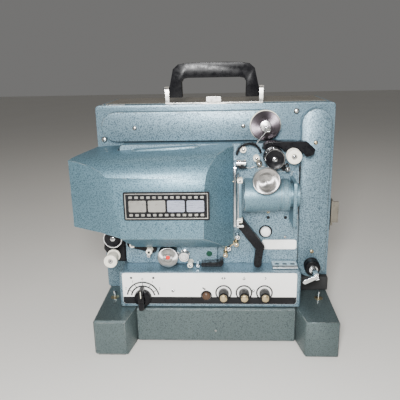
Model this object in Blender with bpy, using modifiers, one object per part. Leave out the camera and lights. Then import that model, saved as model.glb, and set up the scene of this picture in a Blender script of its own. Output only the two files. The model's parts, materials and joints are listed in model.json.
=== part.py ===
"""A 16 mm sound film projector with a swing-out lamphouse cover, two folding reel arms and a carrying handle.

Every size in this script is in millimetres until place() turns it into metres. X runs to the right, Y away
from the operator and Z up. The body's front face is the plane Y = 0, the middle of the body is X = 0 and the
surface that the projector stands on is Z = 0. place() then centres the model's box on the origin.
"""

import math

import bmesh
import bpy
from mathutils import Matrix, Vector

for old in list(bpy.data.objects):
    bpy.data.objects.remove(old, do_unlink=True)

# Driving dimensions, mm
MM = 0.001
FRAME_SHIFT = Vector((4.0, -16.0, 0.0))
GAP = 0.3
WALL = 3.0

BODY_HALF_WIDTH = 177.5
BODY_BOTTOM = 56.5
BODY_TOP = 350.5
BODY_CORNER = 5.0
CASTING_DEPTH = 22.0
CASE_FRONT = 25.0
CASE_BACK = 145.0

BASE_TOP = 56.2
FOOT_FRONT = -114.0
FOOT_BACK = 143.0
PAN_FRONT = -75.6
PAN_HALF_WIDTH = 119.3
PAD_TOP = 1.5

PLATE_FRONT = -35.0
PLATE_LEFT, PLATE_RIGHT = -137.0, 124.0
PLATE_BOTTOM, PLATE_TOP = 113.2, 297.0
STANDOFF = PLATE_FRONT - GAP
INCHING_BUTTON = (75.7, 164.0)
THREADING_PIVOT = (39.0, 183.0)

CONTROL_FRONT = -70.3
CONTROL_LEFT, CONTROL_RIGHT = -142.7, 125.5
CONTROL_TOP = 112.9
PANEL_LOW, PANEL_HIGH = (-138.0, 62.5), (119.5, 112.3)
PANEL_FRONT = CONTROL_FRONT - 1.6
MODE_KNOB, PILOT_BUTTON = (-107.9, 74.0), (-13.3, 76.3)
ROUND_KNOBS = {"volume": (12.3, 81.1), "tone": (42.4, 81.1), "balance": (72.4, 81.1)}
SHAFT_HOLE, PILOT_HOLE = 3.5, 6.6

ARM_BACK, ARM_FRONT = -0.3, -16.0
ARM_RADIUS = 21.7
FRONT_ARM_PIVOT, FRONT_ARM_SPINDLE = (149.0, 321.5), (149.0, 102.5)
REAR_ARM_PIVOT, REAR_ARM_SPINDLE = (-145.0, 320.5), (74.0, 320.5)
SPINDLE_TIP = -60.0
LATCH_PIVOT_REACH = 3.0

OPTICAL_Y, OPTICAL_Z = -60.0, 227.5
LENS_RADIUS = 21.0
LENS_BORE = LENS_RADIUS + 0.4
LAMP_X = -68.0
FOCUS_KNOB = (70.4, 256.1)

COVER_LEFT, COVER_RIGHT = -204.0, 27.0
COVER_HINGE = (-176.0, -3.0)
COVER_WALL = 2.5
COVER_REAR = -36.0
COVER_SHOULDER, COVER_ROOF = 176.0, 298.5
COVER_FALL = 13.0

HANDLE_Y, HANDLE_PIVOT_Z = 11.0, 371.0
UPPER_SPROCKET = (84.1, 279.6)
LOWER_SPROCKET = (-150.3, 162.4)
UPPER_ROLLER, LOWER_ROLLER = (111.0, 282.6), (-155.4, 127.9)
SOUND_DRUM, SOUND_PULLEY = (-70.2, 131.5), (-46.3, 131.4)
TENSION_PIVOT, TENSION_END = (-128.0, 147.0), (-98.4, 139.7)
FAN_AXIS = (-90.0, 170.0)

PARTS = bpy.data.collections.new("film_projector")
CUTTERS = bpy.data.collections.new("cutters")
for made in (PARTS, CUTTERS):
    bpy.context.scene.collection.children.link(made)

# Finish of each kind of piece: colour, roughness, metallic
FINISHES = {
    "hammertone": ((0.27, 0.39, 0.46), 0.45, 0.3),
    "black_plastic": ((0.02, 0.02, 0.022), 0.4, 0.0),
    "black_paint": ((0.03, 0.03, 0.035), 0.5, 0.2),
    "rubber": ((0.03, 0.03, 0.03), 0.9, 0.0),
    "chrome": ((0.75, 0.75, 0.77), 0.15, 1.0),
    "brushed": ((0.7, 0.7, 0.7), 0.35, 1.0),
    "silver_panel": ((0.72, 0.72, 0.7), 0.4, 0.6),
    "cream": ((0.85, 0.82, 0.74), 0.4, 0.0),
    "anodised": ((0.19, 0.17, 0.22), 0.35, 0.8),
    "blue_barrel": ((0.24, 0.37, 0.45), 0.35, 0.4),
    "glass": ((0.8, 0.85, 0.85), 0.05, 0.0),
    "brown": ((0.16, 0.09, 0.06), 0.3, 0.0),
    "steel": ((0.45, 0.45, 0.46), 0.4, 1.0),
    "board": ((0.05, 0.2, 0.1), 0.6, 0.0),
}


def place(x, y, z):
    """A point of the design, in metres in the scene."""
    return (Vector((x, y, z)) + FRAME_SHIFT) * MM


def finish(kind):
    material = bpy.data.materials.get(kind)
    if material:
        return material
    colour, roughness, metallic = FINISHES[kind]
    material = bpy.data.materials.new(kind)
    material.use_nodes = True
    shader = material.node_tree.nodes["Principled BSDF"]
    shader.inputs["Base Color"].default_value = (*colour, 1.0)
    shader.inputs["Roughness"].default_value = roughness
    shader.inputs["Metallic"].default_value = metallic
    material.diffuse_color = (*colour, 1.0)
    return material


def add_object(name, mesh, kind, pivot):
    """A part when kind names its finish, or a hidden cutter when kind is None, its mesh relative to pivot."""
    obj = bpy.data.objects.new(name, mesh)
    obj.location = place(*pivot)
    if kind is None:
        CUTTERS.objects.link(obj)
        obj.hide_render = True
        obj.display_type = "WIRE"
    else:
        PARTS.objects.link(obj)
        mesh.materials.append(finish(kind))
    return obj


def box(name, low, high, kind=None, pivot=None):
    """A box between two corners of the design."""
    low, high = Vector(low), Vector(high)
    middle = (low + high) / 2
    pivot = Vector(pivot) if pivot else middle
    bm = bmesh.new()
    bmesh.ops.create_cube(bm, size=1.0)
    bmesh.ops.scale(bm, vec=(high - low) * MM, verts=bm.verts)
    bmesh.ops.translate(bm, vec=(middle - pivot) * MM, verts=bm.verts)
    mesh = bpy.data.meshes.new(name)
    bm.to_mesh(mesh)
    bm.free()
    return add_object(name, mesh, kind, pivot)


def flat(name, outline, across, start, end, kind=None, pivot=(0, 0, 0)):
    """A flat outline with an even thickness, from start to end along the axis that it lies across.

    The outline's two numbers are X and Z across Y, X and Y across Z, or Y and Z across X.
    """
    curve = bpy.data.curves.new(name, "CURVE")
    curve.dimensions = "2D"
    curve.fill_mode = "BOTH"
    curve.extrude = abs(end - start) / 2 * MM
    spline = curve.splines.new("POLY")
    spline.points.add(len(outline) - 1)
    spline.use_cyclic_u = True
    for point, (u, v) in zip(spline.points, outline):
        point.co = (u * MM, v * MM, 0.0, 1.0)
    guide = bpy.data.objects.new(name + "_outline", curve)
    CUTTERS.objects.link(guide)
    bpy.context.view_layer.update()
    mesh = bpy.data.meshes.new_from_object(guide.evaluated_get(bpy.context.evaluated_depsgraph_get()))
    bpy.data.objects.remove(guide, do_unlink=True)
    axes = {
        "X": Matrix(((0, 0, 1), (1, 0, 0), (0, 1, 0))),
        "Y": Matrix(((1, 0, 0), (0, 0, -1), (0, 1, 0))),
        "Z": Matrix.Identity(3),
    }
    middle = (start + end) / 2
    centre = {"X": (middle, 0, 0), "Y": (0, middle, 0), "Z": (0, 0, middle)}[across]
    mesh.transform(Matrix.Translation((Vector(centre) - Vector(pivot)) * MM) @ axes[across].to_4x4())
    bm = bmesh.new()
    bm.from_mesh(mesh)
    bmesh.ops.remove_doubles(bm, verts=bm.verts, dist=0.00001)
    bmesh.ops.recalc_face_normals(bm, faces=bm.faces)
    bm.to_mesh(mesh)
    bm.free()
    mesh.name = name
    mesh.materials.clear()
    return add_object(name, mesh, kind, pivot)


def turned(name, profile, along, centre, kind=None, steps=24):
    """A profile of (radius, position) points, in rising positions, turned about an axis along X, Y or Z.

    centre is the axis's place: (x, z) along Y, (y, z) along X and (x, y) along Z.
    """
    mesh = bpy.data.meshes.new(name)
    closed = profile[0] == profile[-1]
    points = [(radius * MM, 0.0, -position * MM) for radius, position in profile[: -1 if closed else None]]
    edges = [(i, (i + 1) % len(points)) for i in range(len(points) if closed else len(points) - 1)]
    mesh.from_pydata(points, edges, [])
    a, b = centre
    pivot = {"X": (0, a, b), "Y": (a, 0, b), "Z": (a, b, 0)}[along]
    obj = add_object(name, mesh, kind, pivot)
    obj.rotation_euler = {
        "X": (0.0, -math.pi / 2, 0.0),
        "Y": (math.pi / 2, 0.0, 0.0),
        "Z": (math.pi, 0.0, 0.0),
    }[along]
    screw = obj.modifiers.new("turn", "SCREW")
    screw.axis = "Z"
    screw.steps = steps
    screw.render_steps = steps
    screw.use_merge_vertices = True
    screw.merge_threshold = 0.00001
    return obj


def rod(radius, start, end):
    """The profile of a plain round bar."""
    return [(0, start), (radius, start), (radius, end), (0, end)]


def combine(obj, operation, others):
    for other in others:
        modifier = obj.modifiers.new(operation.lower() + "_" + other.name, "BOOLEAN")
        modifier.operation = operation
        modifier.object = other
    return obj


def cut(obj, *others):
    return combine(obj, "DIFFERENCE", others)


def join(obj, *others):
    return combine(obj, "UNION", others)


def soften(obj, width, segments=2, angle=40.0):
    """Rounded edges, on every edge sharper than the angle."""
    bevel = obj.modifiers.new("soften", "BEVEL")
    bevel.width = width * MM
    bevel.segments = segments
    bevel.limit_method = "ANGLE"
    bevel.angle_limit = math.radians(angle)
    return obj


def arc(centre, radius, start, end, steps):
    """Points of an arc in an outline's plane, angles in degrees."""
    turn = (end - start) / steps
    angles = [math.radians(start + turn * i) for i in range(steps + 1)]
    return [(centre[0] + radius * math.cos(a), centre[1] + radius * math.sin(a)) for a in angles]


def rounded_rectangle(low, high, radius, steps=4):
    (x0, z0), (x1, z1) = low, high
    corners = (
        ((x1 - radius, z1 - radius), 0),
        ((x0 + radius, z1 - radius), 90),
        ((x0 + radius, z0 + radius), 180),
        ((x1 - radius, z0 + radius), 270),
    )
    return [point for centre, turn in corners for point in arc(centre, radius, turn, turn + 90, steps)]


def stadium(first, second, radius, steps=10):
    """The outline of a bar with round ends between two centres."""
    heading = math.degrees(math.atan2(second[1] - first[1], second[0] - first[0]))
    return arc(second, radius, heading - 90, heading + 90, steps) + arc(
        first, radius, heading + 90, heading + 270, steps
    )


def base():
    """The stand: a tray between two hollow cast feet, on rubber pads."""
    low, high = (-PAN_HALF_WIDTH, PAN_FRONT, 2.0), (PAN_HALF_WIDTH, FOOT_BACK, BASE_TOP)
    pan = box("base_pan", low, high, "hammertone")
    hollow = box(
        "base_pan_hollow",
        (-PAN_HALF_WIDTH + WALL, PAN_FRONT + WALL, -5),
        (PAN_HALF_WIDTH - WALL, FOOT_BACK - WALL, BASE_TOP - WALL),
    )
    cut(soften(pan, 2.0, 1), hollow)
    outer, tip, root = 175.5, 127.0, PAN_HALF_WIDTH + GAP
    for side, name in ((-1, "left"), (1, "right")):
        outline = [(outer, FOOT_FRONT), (outer, FOOT_BACK), (root, FOOT_BACK), (root, PAN_FRONT)]
        outline += [(tip, FOOT_FRONT)]
        hollow = [
            (outer - 4, FOOT_FRONT + 4),
            (outer - 4, FOOT_BACK - 4),
            (root + 4, FOOT_BACK - 4),
            (root + 4, PAN_FRONT),
            (tip + 4, FOOT_FRONT + 4),
        ]
        shapes = [[(side * x, y) for x, y in shape][::-side] for shape in (outline, hollow)]
        foot = flat(f"foot_{name}", shapes[0], "Z", PAD_TOP + GAP, BASE_TOP, "hammertone")
        cut(soften(foot, 2.5, 1), flat(f"foot_{name}_hollow", shapes[1], "Z", -5, BASE_TOP - 5))
        flat(f"pad_{name}", shapes[1], "Z", 0.0, PAD_TOP, "rubber")


def body():
    """The front casting, the gasket behind it and the rear case, each open towards the middle."""
    outline = rounded_rectangle((-BODY_HALF_WIDTH, BODY_BOTTOM), (BODY_HALF_WIDTH, BODY_TOP), BODY_CORNER)
    inner = rounded_rectangle(
        (-BODY_HALF_WIDTH + 5, BODY_BOTTOM + 5), (BODY_HALF_WIDTH - 5, BODY_TOP - 5), BODY_CORNER / 2
    )
    casting = flat("front_casting", outline, "Y", 0, CASTING_DEPTH, "hammertone")
    cut(soften(casting, 2.5), flat("front_casting_hollow", inner, "Y", 4, CASTING_DEPTH + 5))
    ring = rounded_rectangle((-174, BODY_BOTTOM + 3), (174, BODY_TOP - 3), BODY_CORNER - 3)
    gasket = flat("case_gasket", ring, "Y", CASTING_DEPTH + GAP, CASE_FRONT - GAP, "rubber")
    cut(gasket, flat("case_gasket_hole", inner, "Y", 0, 50))
    case = flat("rear_case", outline, "Y", CASE_FRONT, CASE_BACK, "hammertone")
    cut(soften(case, 2.5), flat("rear_case_hollow", inner, "Y", 0, CASE_BACK - WALL))
    grille_hole = box("rear_grille_hole", (-140, 130, 110), (-40, 160, 230))
    inlet_hole = box("inlet_hole", (90, 130, 84), (130, 160, 108))
    cut(case, grille_hole, inlet_hole)


def rear_fittings():
    """The air grille over the fan and the power inlet, on the back of the case."""
    grille = box("rear_grille", (-139.7, CASE_BACK - 2.5, 110.3), (-40.3, CASE_BACK, 229.7), "black_paint")
    for row in range(9):
        low = 118 + row * 12.5
        cut(grille, box(f"grille_slot_{row}", (-132, 130, low), (-48, 160, low + 6)))
    inlet = box("power_inlet", (90.3, CASE_BACK - 18, 84.3), (129.7, CASE_BACK + 1, 107.7), "black_plastic")
    cut(inlet, box("inlet_socket", (96, CASE_BACK - 12, 88), (124, 160, 104)))


def mechanism_housing():
    """The raised block that carries the film path, hollow and open at the back."""
    outline = rounded_rectangle((PLATE_LEFT, PLATE_BOTTOM), (PLATE_RIGHT, PLATE_TOP), 5)
    inner = rounded_rectangle((PLATE_LEFT + 4, PLATE_BOTTOM + 4), (PLATE_RIGHT - 4, PLATE_TOP - 4), 3)
    housing = flat("mechanism_housing", outline, "Y", PLATE_FRONT, -GAP, "hammertone")
    cut(soften(housing, 1.5, 1), flat("mechanism_hollow", inner, "Y", PLATE_FRONT + 4, 5))
    cut(housing, turned("button_hole", rod(8.4, -40, -28), "Y", INCHING_BUTTON))


def control_section():
    """The control housing with its silver panel, mode selector, three round knobs and pilot button."""
    housing = box(
        "control_housing",
        (CONTROL_LEFT, CONTROL_FRONT, BODY_BOTTOM),
        (CONTROL_RIGHT, -GAP, CONTROL_TOP),
        "hammertone",
    )
    hollow = box(
        "control_hollow",
        (CONTROL_LEFT + 4, CONTROL_FRONT + 4, BODY_BOTTOM + 4),
        (CONTROL_RIGHT - 4, 5, CONTROL_TOP - 4),
    )
    cut(soften(housing, 2.0, 1), hollow)
    outline = rounded_rectangle(PANEL_LOW, PANEL_HIGH, 4, 3)
    panel = flat("control_panel", outline, "Y", PANEL_FRONT, CONTROL_FRONT - GAP, "silver_panel")
    holes = [(centre, SHAFT_HOLE) for centre in (MODE_KNOB, *ROUND_KNOBS.values())]
    holes.append((PILOT_BUTTON, PILOT_HOLE))
    for number, (centre, radius) in enumerate(holes):
        hole = turned(f"panel_hole_{number}", rod(radius, -80, CONTROL_FRONT + 8), "Y", centre, steps=16)
        cut(panel, hole)
        cut(housing, hole)
    front, back, shaft = PANEL_FRONT - GAP, CONTROL_FRONT + 6, SHAFT_HOLE - 0.5
    dial = [(0, front - 8), (12, front - 8), (13, front - 7), (13, front), (shaft, front), (shaft, back)]
    dial.append((0, back))
    x, z = MODE_KNOB
    grip = [(x - 4.5, z - 12), (x + 4.5, z - 12), (x + 3, z + 21), (x - 3, z + 21)]
    pointer = soften(flat("mode_grip", grip, "Y", front - 21, front - 3), 1.0, 1)
    join(turned("mode_knob", dial, "Y", MODE_KNOB, "black_plastic"), pointer)
    plunger = PILOT_HOLE - 0.5
    pilot = [(0, front - 5), (4, front - 4), (plunger, front - 2.2), (plunger, back - 2), (0, back - 2)]
    turned("pilot_button", pilot, "Y", PILOT_BUTTON, "brown")
    knob = [(0, front - 20.8), (5.5, front - 20.8), (5.5, front - 16.3), (7.6, front - 15.8), (8.2, front)]
    knob += [(shaft, front), (shaft, back), (0, back)]
    for name, centre in ROUND_KNOBS.items():
        turned(f"{name}_knob", knob, "Y", centre, "black_plastic", 20)


def inset(outline, distance):
    """An anticlockwise outline moved in by a distance, side by side."""
    lines = []
    for (x0, y0), (x1, y1) in zip(outline, outline[1:] + outline[:1]):
        length = math.hypot(x1 - x0, y1 - y0)
        normal = ((y0 - y1) / length, (x1 - x0) / length)
        lines.append((normal, normal[0] * x0 + normal[1] * y0 + distance))
    points = []
    for (n0, d0), (n1, d1) in zip(lines[-1:] + lines[:-1], lines):
        area = n0[0] * n1[1] - n0[1] * n1[0]
        points.append(((d0 * n1[1] - d1 * n0[1]) / area, (d1 * n0[0] - d0 * n1[0]) / area))
    return points


def cover_form(name, plan, profile, kind=None):
    """The cover's form: its plan going up, where it meets its profile going from left to right.

    The profile's left end is lower, so that the roof falls away to the left.
    """
    form = flat(name, plan, "Z", 140.0, 320.0, kind, (*COVER_HINGE, 0))
    section = flat(name + "_section", profile, "X", COVER_LEFT - 10, COVER_RIGHT + 10)
    middle = (COVER_LEFT + COVER_RIGHT) / 2 * MM
    for vertex in section.data.vertices:
        if vertex.co.x < middle:
            rise = (vertex.co.z / MM - COVER_SHOULDER) / (COVER_ROOF - COVER_SHOULDER)
            vertex.co.z -= COVER_FALL * max(0.0, rise) * MM
    return combine(form, "INTERSECT", [section])


def lamphouse_cover():
    """The cover over the lamp, with bevelled sides and a rounded brow, hinged at its left and open at its back."""
    open_right, open_back = COVER_RIGHT + 6, 6.0
    front = [(-204.0, -68.0), (-129.0, -100.0), (-14.6, -100.0), (COVER_RIGHT, -50.0)]
    plan = [(-140.5, -2.0), (-176.5, -2.0), *front, (COVER_RIGHT, COVER_REAR), (-140.5, COVER_REAR)]
    room = [(-173.0, open_back), *front[:3], (open_right, -42.8), (open_right, open_back)]
    brow = [(-98.5, 208), (-97.6, 246), (-96, 259), (-93, 269), (-88.5, 278), (-82, 286), (-73, 292)]
    brow += [(-60, 295.8), (-35, COVER_ROOF)]
    profile = [(open_back, 140), (-47.4, 140), (-100, COVER_SHOULDER), *brow, (open_back, 302)]
    cover = cover_form("lamphouse_cover", plan, profile, "hammertone")
    hollow_profile = [(open_back + 9, 130), (-32.8, 130), *profile[2:-1], (open_back + 9, 303)]
    inner_profile = inset(hollow_profile[::-1], COVER_WALL)[::-1]
    hollow = cover_form("lamphouse_hollow", inset(room, COVER_WALL), inner_profile)
    skirt = [(-118, 130), (-118, 150), (-130, 177), (-160, 181), (-215, 184.5), (-215, 130)]
    floor = box("lamphouse_floor", (COVER_LEFT - 10, -120, 130), (COVER_RIGHT + 10, 10, 150))
    cut(cover, hollow, flat("lamphouse_skirt", skirt, "Y", -120, 10), floor)
    label = rounded_rectangle((-122.5, 204), (-5.5, 244), 2, 2)
    flat("nameplate", label, "Y", -102.0, -100.3, "black_paint", (*COVER_HINGE, 0))


def lamp_parts():
    """What the cover hides: the lamp in its socket, with a reflector on its left and a condenser on its right."""
    axis = (OPTICAL_Y, OPTICAL_Z)
    dish = [(11, -103), (22, -93), (23.5, -86), (21.5, -86), (20, -92), (9, -101.5), (11, -103)]
    mirror = turned("reflector", dish, "X", axis, "chrome")
    join(mirror, turned("reflector_post", rod(3, -56, STANDOFF), "Y", (-89.0, 248.3), steps=16))
    bulb = [(0, 212), (7, 212), (7, 214), (13, 222), (14, 236), (12, 246), (6, 252), (0, 253)]
    turned("lamp", bulb, "Z", (LAMP_X, OPTICAL_Y), "glass", 20)
    socket = turned("lamp_socket", rod(12, 186, 211.7), "Z", (LAMP_X, OPTICAL_Y), "black_plastic", 20)
    join(socket, box("socket_arm", (LAMP_X - 8, OPTICAL_Y, 188), (LAMP_X + 8, STANDOFF, 200)))
    lens = [(0, -34), (16, -28), (19, -24), (19, -10), (16, -6), (0, -2)]
    turned("condenser", lens, "X", axis, "glass")


def film_gate():
    """The aperture plate, the sprung gate, the loop former and the shutter lever beside the lens."""
    outline = rounded_rectangle((-75.0, 183.5), (STANDOFF, 272.5), 3, 2)
    plate = flat("gate_plate", outline, "X", 27.6, 30.6, "chrome")
    low, high = (20, OPTICAL_Y - 5.2, OPTICAL_Z - 3.8), (35, OPTICAL_Y + 5.2, OPTICAL_Z + 3.8)
    cut(plate, box("gate_aperture", low, high))
    door = [(OPTICAL_Y - 11, 196), (OPTICAL_Y + 11, 196), (OPTICAL_Y + 11, 249), (OPTICAL_Y - 11, 249)]
    gate = soften(flat("gate_door", door, "X", 31.6, 39.0, "blue_barrel"), 2.0, 2)
    cut(gate, turned("gate_window", rod(7, 20, 50), "X", (OPTICAL_Y, OPTICAL_Z), steps=20))
    centre = (49.3, 282.0)
    former = arc(centre, 18.7, 10, 175, 10) + arc(centre, 15.7, 175, 10, 10)
    flat("loop_former", former, "Y", -50, STANDOFF, "black_plastic")


def lens_and_focus():
    """The lens in its holder, its front bracket and the focusing knob above it."""
    axis = (OPTICAL_Y, OPTICAL_Z)
    sleeve = [(LENS_BORE, 43), (24.5, 43), (24.5, 60), (23, 89), (LENS_BORE, 89), (LENS_BORE, 43)]
    holder = turned("lens_holder", sleeve, "X", axis, "blue_barrel", 32)
    join(holder, box("holder_foot", (50, -42, 208), (82, STANDOFF, 247)))
    cut(holder, turned("holder_bore", rod(LENS_BORE, 30, 95), "X", axis, steps=32))
    barrel = [(15, 46.5), (LENS_RADIUS, 46.5), (LENS_RADIUS, 93), (22.5, 93), (22.5, 105.5), (17, 105.5)]
    barrel += [(17, 119), (14, 119), (12, 112), (12, 50), (15, 46.5)]
    glass = [(0, 60), (12.5, 60), (12.5, 100), (0, 96)]
    join(turned("lens", barrel, "X", axis, "blue_barrel", 32), turned("lens_glass", glass, "X", axis))
    outline = rounded_rectangle((-82.0, 184.5), (STANDOFF, 250.0), 4, 2)
    bracket = flat("lens_bracket", outline, "X", 109.5, 114, "blue_barrel")
    cut(bracket, turned("bracket_bore", rod(18.6, 100, 120), "X", axis, steps=28))
    knob = [(0, -98), (6, -98), (7, -97), (16.8, -98), (18.3, -96.5), (18.3, -89.5), (17, -88), (3, -88)]
    knob += [(3, STANDOFF), (0, STANDOFF)]
    turned("focus_knob", knob, "Y", FOCUS_KNOB, "brushed", 32)


def sprocket(name, centre, front):
    """A hollow drum with a wide flange at each end of the film's width."""
    back = front + 26
    profile = [(0, front - 1.5), (5, front - 1.5), (5, front), (13.5, front), (14.6, front + 1)]
    profile += [(14.6, front + 5), (12, front + 5.5), (12, back - 5.5), (14.6, back - 5), (14.6, back)]
    profile += [(5, back), (5, STANDOFF), (0, STANDOFF)]
    turned(name, profile, "Y", centre, "black_plastic")


def film_path():
    """Sprockets, rollers, guides and the tension arm, from the top of the film's path to its bottom."""
    sprocket("upper_sprocket", UPPER_SPROCKET, -66.0)
    sprocket("lower_sprocket", LOWER_SPROCKET, -62.0)
    guide = arc(UPPER_SPROCKET, 15.8, 140, 28, 8) + [(122.7, 287), (130.4, 279), (140.7, 282.9), (142, 289.9)]
    guide += [(129.5, 301.4), (76, 301.4), (69.5, 297), (67.5, 292)]
    flat("upper_guide", guide[::-1], "Y", -50, STANDOFF, "black_plastic")
    casting = [(-170, 150), (-172, 136), (-160, 115), (-137.5, 115), (-137.5, 173), (-166, 173)]
    soften(flat("lower_casting", casting, "Y", -34.7, -GAP, "black_paint"), 2.0, 1)
    for name, centre, radius, rear in (
        ("upper_roller", UPPER_ROLLER, 10.2, -51),
        ("lower_roller", LOWER_ROLLER, 10.0, -39),
    ):
        front, waist = -66, radius - 1.6
        profile = [(0, front), (radius - 1, front), (radius, front + 1), (radius, front + 4)]
        profile += [(waist, front + 5), (waist, rear - 4), (radius, rear - 3), (radius, rear)]
        profile += [(3, rear), (3, STANDOFF), (0, STANDOFF)]
        turned(name, profile, "Y", centre, "cream")
    x, z = TENSION_PIVOT
    arm_outline = stadium(TENSION_PIVOT, (TENSION_END[0] + 4.4, TENSION_END[1] - 1.2), 5.5, 6)
    arm = flat("tension_arm", arm_outline, "Y", -44, STANDOFF, "black_plastic", (x, 0, z))
    join(arm, turned("tension_pin", rod(2, -60, -40), "Y", TENSION_END, steps=12))


def sound_section():
    """The optical sound head under the lamphouse with its drum, pulley and film shoe."""
    head_front = -42.0
    soften(box("sound_head", (-84, head_front, 114), (4, STANDOFF, 148), "hammertone"), 1.5, 1)
    rear = head_front - GAP
    drum = [(0, -57.5), (5, -57.5), (5, -60), (14.5, -60), (15.7, -59), (15.7, rear), (0, rear)]
    turned("sound_drum", drum, "Y", SOUND_DRUM, "chrome", 28)
    pulley = [(0, -57), (6.8, -57), (7.8, -56), (7.8, -53), (6, -52), (6, -47), (7.8, -46)]
    pulley += [(7.8, rear), (0, rear)]
    turned("sound_pulley", pulley, "Y", SOUND_PULLEY, "brushed")


def film_controls():
    """The threading lever, the inching button and the film end trimmer."""
    top, knee, end = THREADING_PIVOT, (66, 147.5), (62.6, 121.5)
    upper = stadium(top, knee, 6.8, 6)
    lever = flat("threading_lever", upper, "Y", -60, -49, "black_plastic", (top[0], 0, top[1]))
    lower = flat("threading_lever_end", stadium(knee, end, 5.6, 6), "Y", -60, -49)
    join(lever, lower, turned("threading_lever_boss", rod(5, -52, STANDOFF), "Y", top, steps=16))
    button = [(0, -42), (5, -41.3), (7.6, -38), (7.6, -30), (0, -30)]
    turned("inching_button", button, "Y", INCHING_BUTTON, "cream")
    trimmer = [(-60, 113.8), (-38, 113.8), (-38, 118), (-56, 118), (-60, 116)]
    flat("film_trimmer", trimmer, "X", 85, 122, "brushed", (103.5, -40, 116))


def spindle_latch(name, centre, heading, length, half_width, kind):
    """The lock on a spindle's tip, folded across the shaft. It turns on a pin to stand in line with it."""
    outline = [(-2, -half_width), (length - 2, -half_width), (length, 0), (length - 2, half_width)]
    outline.append((-2, half_width))
    turn = math.radians(heading)
    cosine, sine = math.cos(turn), math.sin(turn)
    placed = [(centre[0] + u * cosine - v * sine, centre[1] + u * sine + v * cosine) for u, v in outline]
    middle = SPINDLE_TIP - LATCH_PIVOT_REACH
    flat(name, placed, "Y", middle - 1.7, middle + 1.7, kind, (centre[0], middle, centre[1]))


def reel_arms():
    """Two folding arms, each with a spindle that turns and a lock on the spindle's tip."""
    for name, pivot, end in (
        ("supply_arm", FRONT_ARM_PIVOT, FRONT_ARM_SPINDLE),
        ("takeup_arm", REAR_ARM_PIVOT, REAR_ARM_SPINDLE),
    ):
        outline = stadium(pivot, end, ARM_RADIUS)
        soften(flat(name, outline, "Y", ARM_FRONT, ARM_BACK, "hammertone", (pivot[0], 0, pivot[1])), 2.0)
    rear = ARM_FRONT - GAP
    hub = [(0, -34), (10.5, -34), (12, -32.5), (12, rear), (0, rear)]
    disc = [(0, -27), (8, -27), (8, -26), (20.5, -26), (21.5, -25), (21.5, -21), (22.3, -20.5), (22.3, -17)]
    disc += [(5, -17), (5, rear), (0, rear)]
    for name, centre, profile, kind in (
        ("supply_spindle", FRONT_ARM_SPINDLE, hub, "black_plastic"),
        ("takeup_spindle", REAR_ARM_SPINDLE, disc, "anodised"),
    ):
        x, z = centre
        shaft = box(f"{name}_shaft", (x - 4, SPINDLE_TIP, z - 4), (x + 4, -24, z + 4))
        join(turned(name, profile, "Y", centre, kind, 32), soften(shaft, 0.8, 1))
    spindle_latch("supply_latch", FRONT_ARM_SPINDLE, 206.0, 22.0, 3.2, "chrome")
    spindle_latch("takeup_latch", REAR_ARM_SPINDLE, 231.0, 25.0, 2.0, "chrome")
    soften(box("stop_block", (131, -14, 57), (177, -GAP, 79.7), "rubber"), 2.0)


def handle_and_latches():
    """The carrying handle on its strap, the case latch in front of it and the catch on the right side."""
    half = [(38, 388.5), (44.5, 387), (47.5, 382), (46.8, 360.5)]
    half += [(66, 360.5), (66, 372), (59.5, 401), (52, 407.5), (40, 409.3), (20, 410)]
    outline = half + [(-x, z) for x, z in reversed(half)]
    grip = flat("handle", outline, "Y", 2, 20, "black_plastic", (0, HANDLE_Y, HANDLE_PIVOT_Z))
    soften(grip, 3.5)
    strap = box("handle_bracket", (-72.5, 6, BODY_TOP + GAP), (72.5, 17, BODY_TOP + 2.2), "steel")
    for side in (-1, 1):
        upright = arc((HANDLE_Y, HANDLE_PIVOT_Z), 5.4, 0, 180, 6)
        upright += [(HANDLE_Y - 4.5, BODY_TOP + 1), (HANDLE_Y + 4.5, BODY_TOP + 1)]
        ends = sorted((side * 66.6, side * 72.5))
        join(strap, flat(f"handle_upright_{side + 1}", upright, "X", *ends))
    tab = rounded_rectangle((-11.8, 353.0), (10.4, 361.5), 2, 2)
    flat("top_latch", tab, "Y", 1.8, 4.6, "steel", (0, 3.2, 354.5))
    lever = box("side_latch", (184.2, 23, 153), (187.2, 37, 195), "steel", (186.0, 30, 155.5))
    lip = box("side_latch_lip", (186.5, 23, 158), (196, 26.5, 193))
    join(lever, lip)


def inside():
    """What the case holds: the motor, cooling fan, transformer, amplifier board and loudspeaker."""
    motor = [(0, 45), (5, 45), (5, 52), (30, 52), (34, 57), (34, 105), (30, 110), (0, 110)]
    turned("drive_motor", motor, "Y", (40, 165), "steel", 28)
    rotor = [(0, 100), (14, 100), (16, 104), (16, 128), (46, 130), (46, 132), (0, 132)]
    fan = turned("fan_rotor", rotor, "Y", FAN_AXIS, "black_plastic", 28)
    for turn in range(8):
        blade = box(f"fan_blade_{turn}", (14, 108, -1), (45, 131, 1), pivot=(0, 0, 0))
        blade.location = place(FAN_AXIS[0], 0, FAN_AXIS[1])
        blade.rotation_euler = (0.0, math.radians(45 * turn), 0.0)
        join(fan, blade)
    box("transformer", (50, 50, 62), (130, 112, 122), "steel")
    box("amplifier_board", (-90, 50, 66), (30, 52, 104), "board")
    cone = [(0, 148), (14, 148), (14, 156), (38, 166), (42, 166), (42, 170), (36, 170), (12, 160), (0, 160)]
    turned("loudspeaker", cone, "X", (88, 250), "black_paint", 28)


def main():
    base()
    body()
    rear_fittings()
    mechanism_housing()
    control_section()
    lamphouse_cover()
    lamp_parts()
    film_gate()
    lens_and_focus()
    film_path()
    sound_section()
    film_controls()
    reel_arms()
    handle_and_latches()
    inside()


main()
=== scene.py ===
"""The looks of a 16 mm sound film projector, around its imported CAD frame.

Places are in millimetres from the frame's own landmarks: X from the middle of the front casting, Y from its
front face and Z from the rubber pads' underside. at() turns them into metres in the frame.
"""

import json
import math

import bmesh
import bpy
from mathutils import Matrix, Vector


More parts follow.
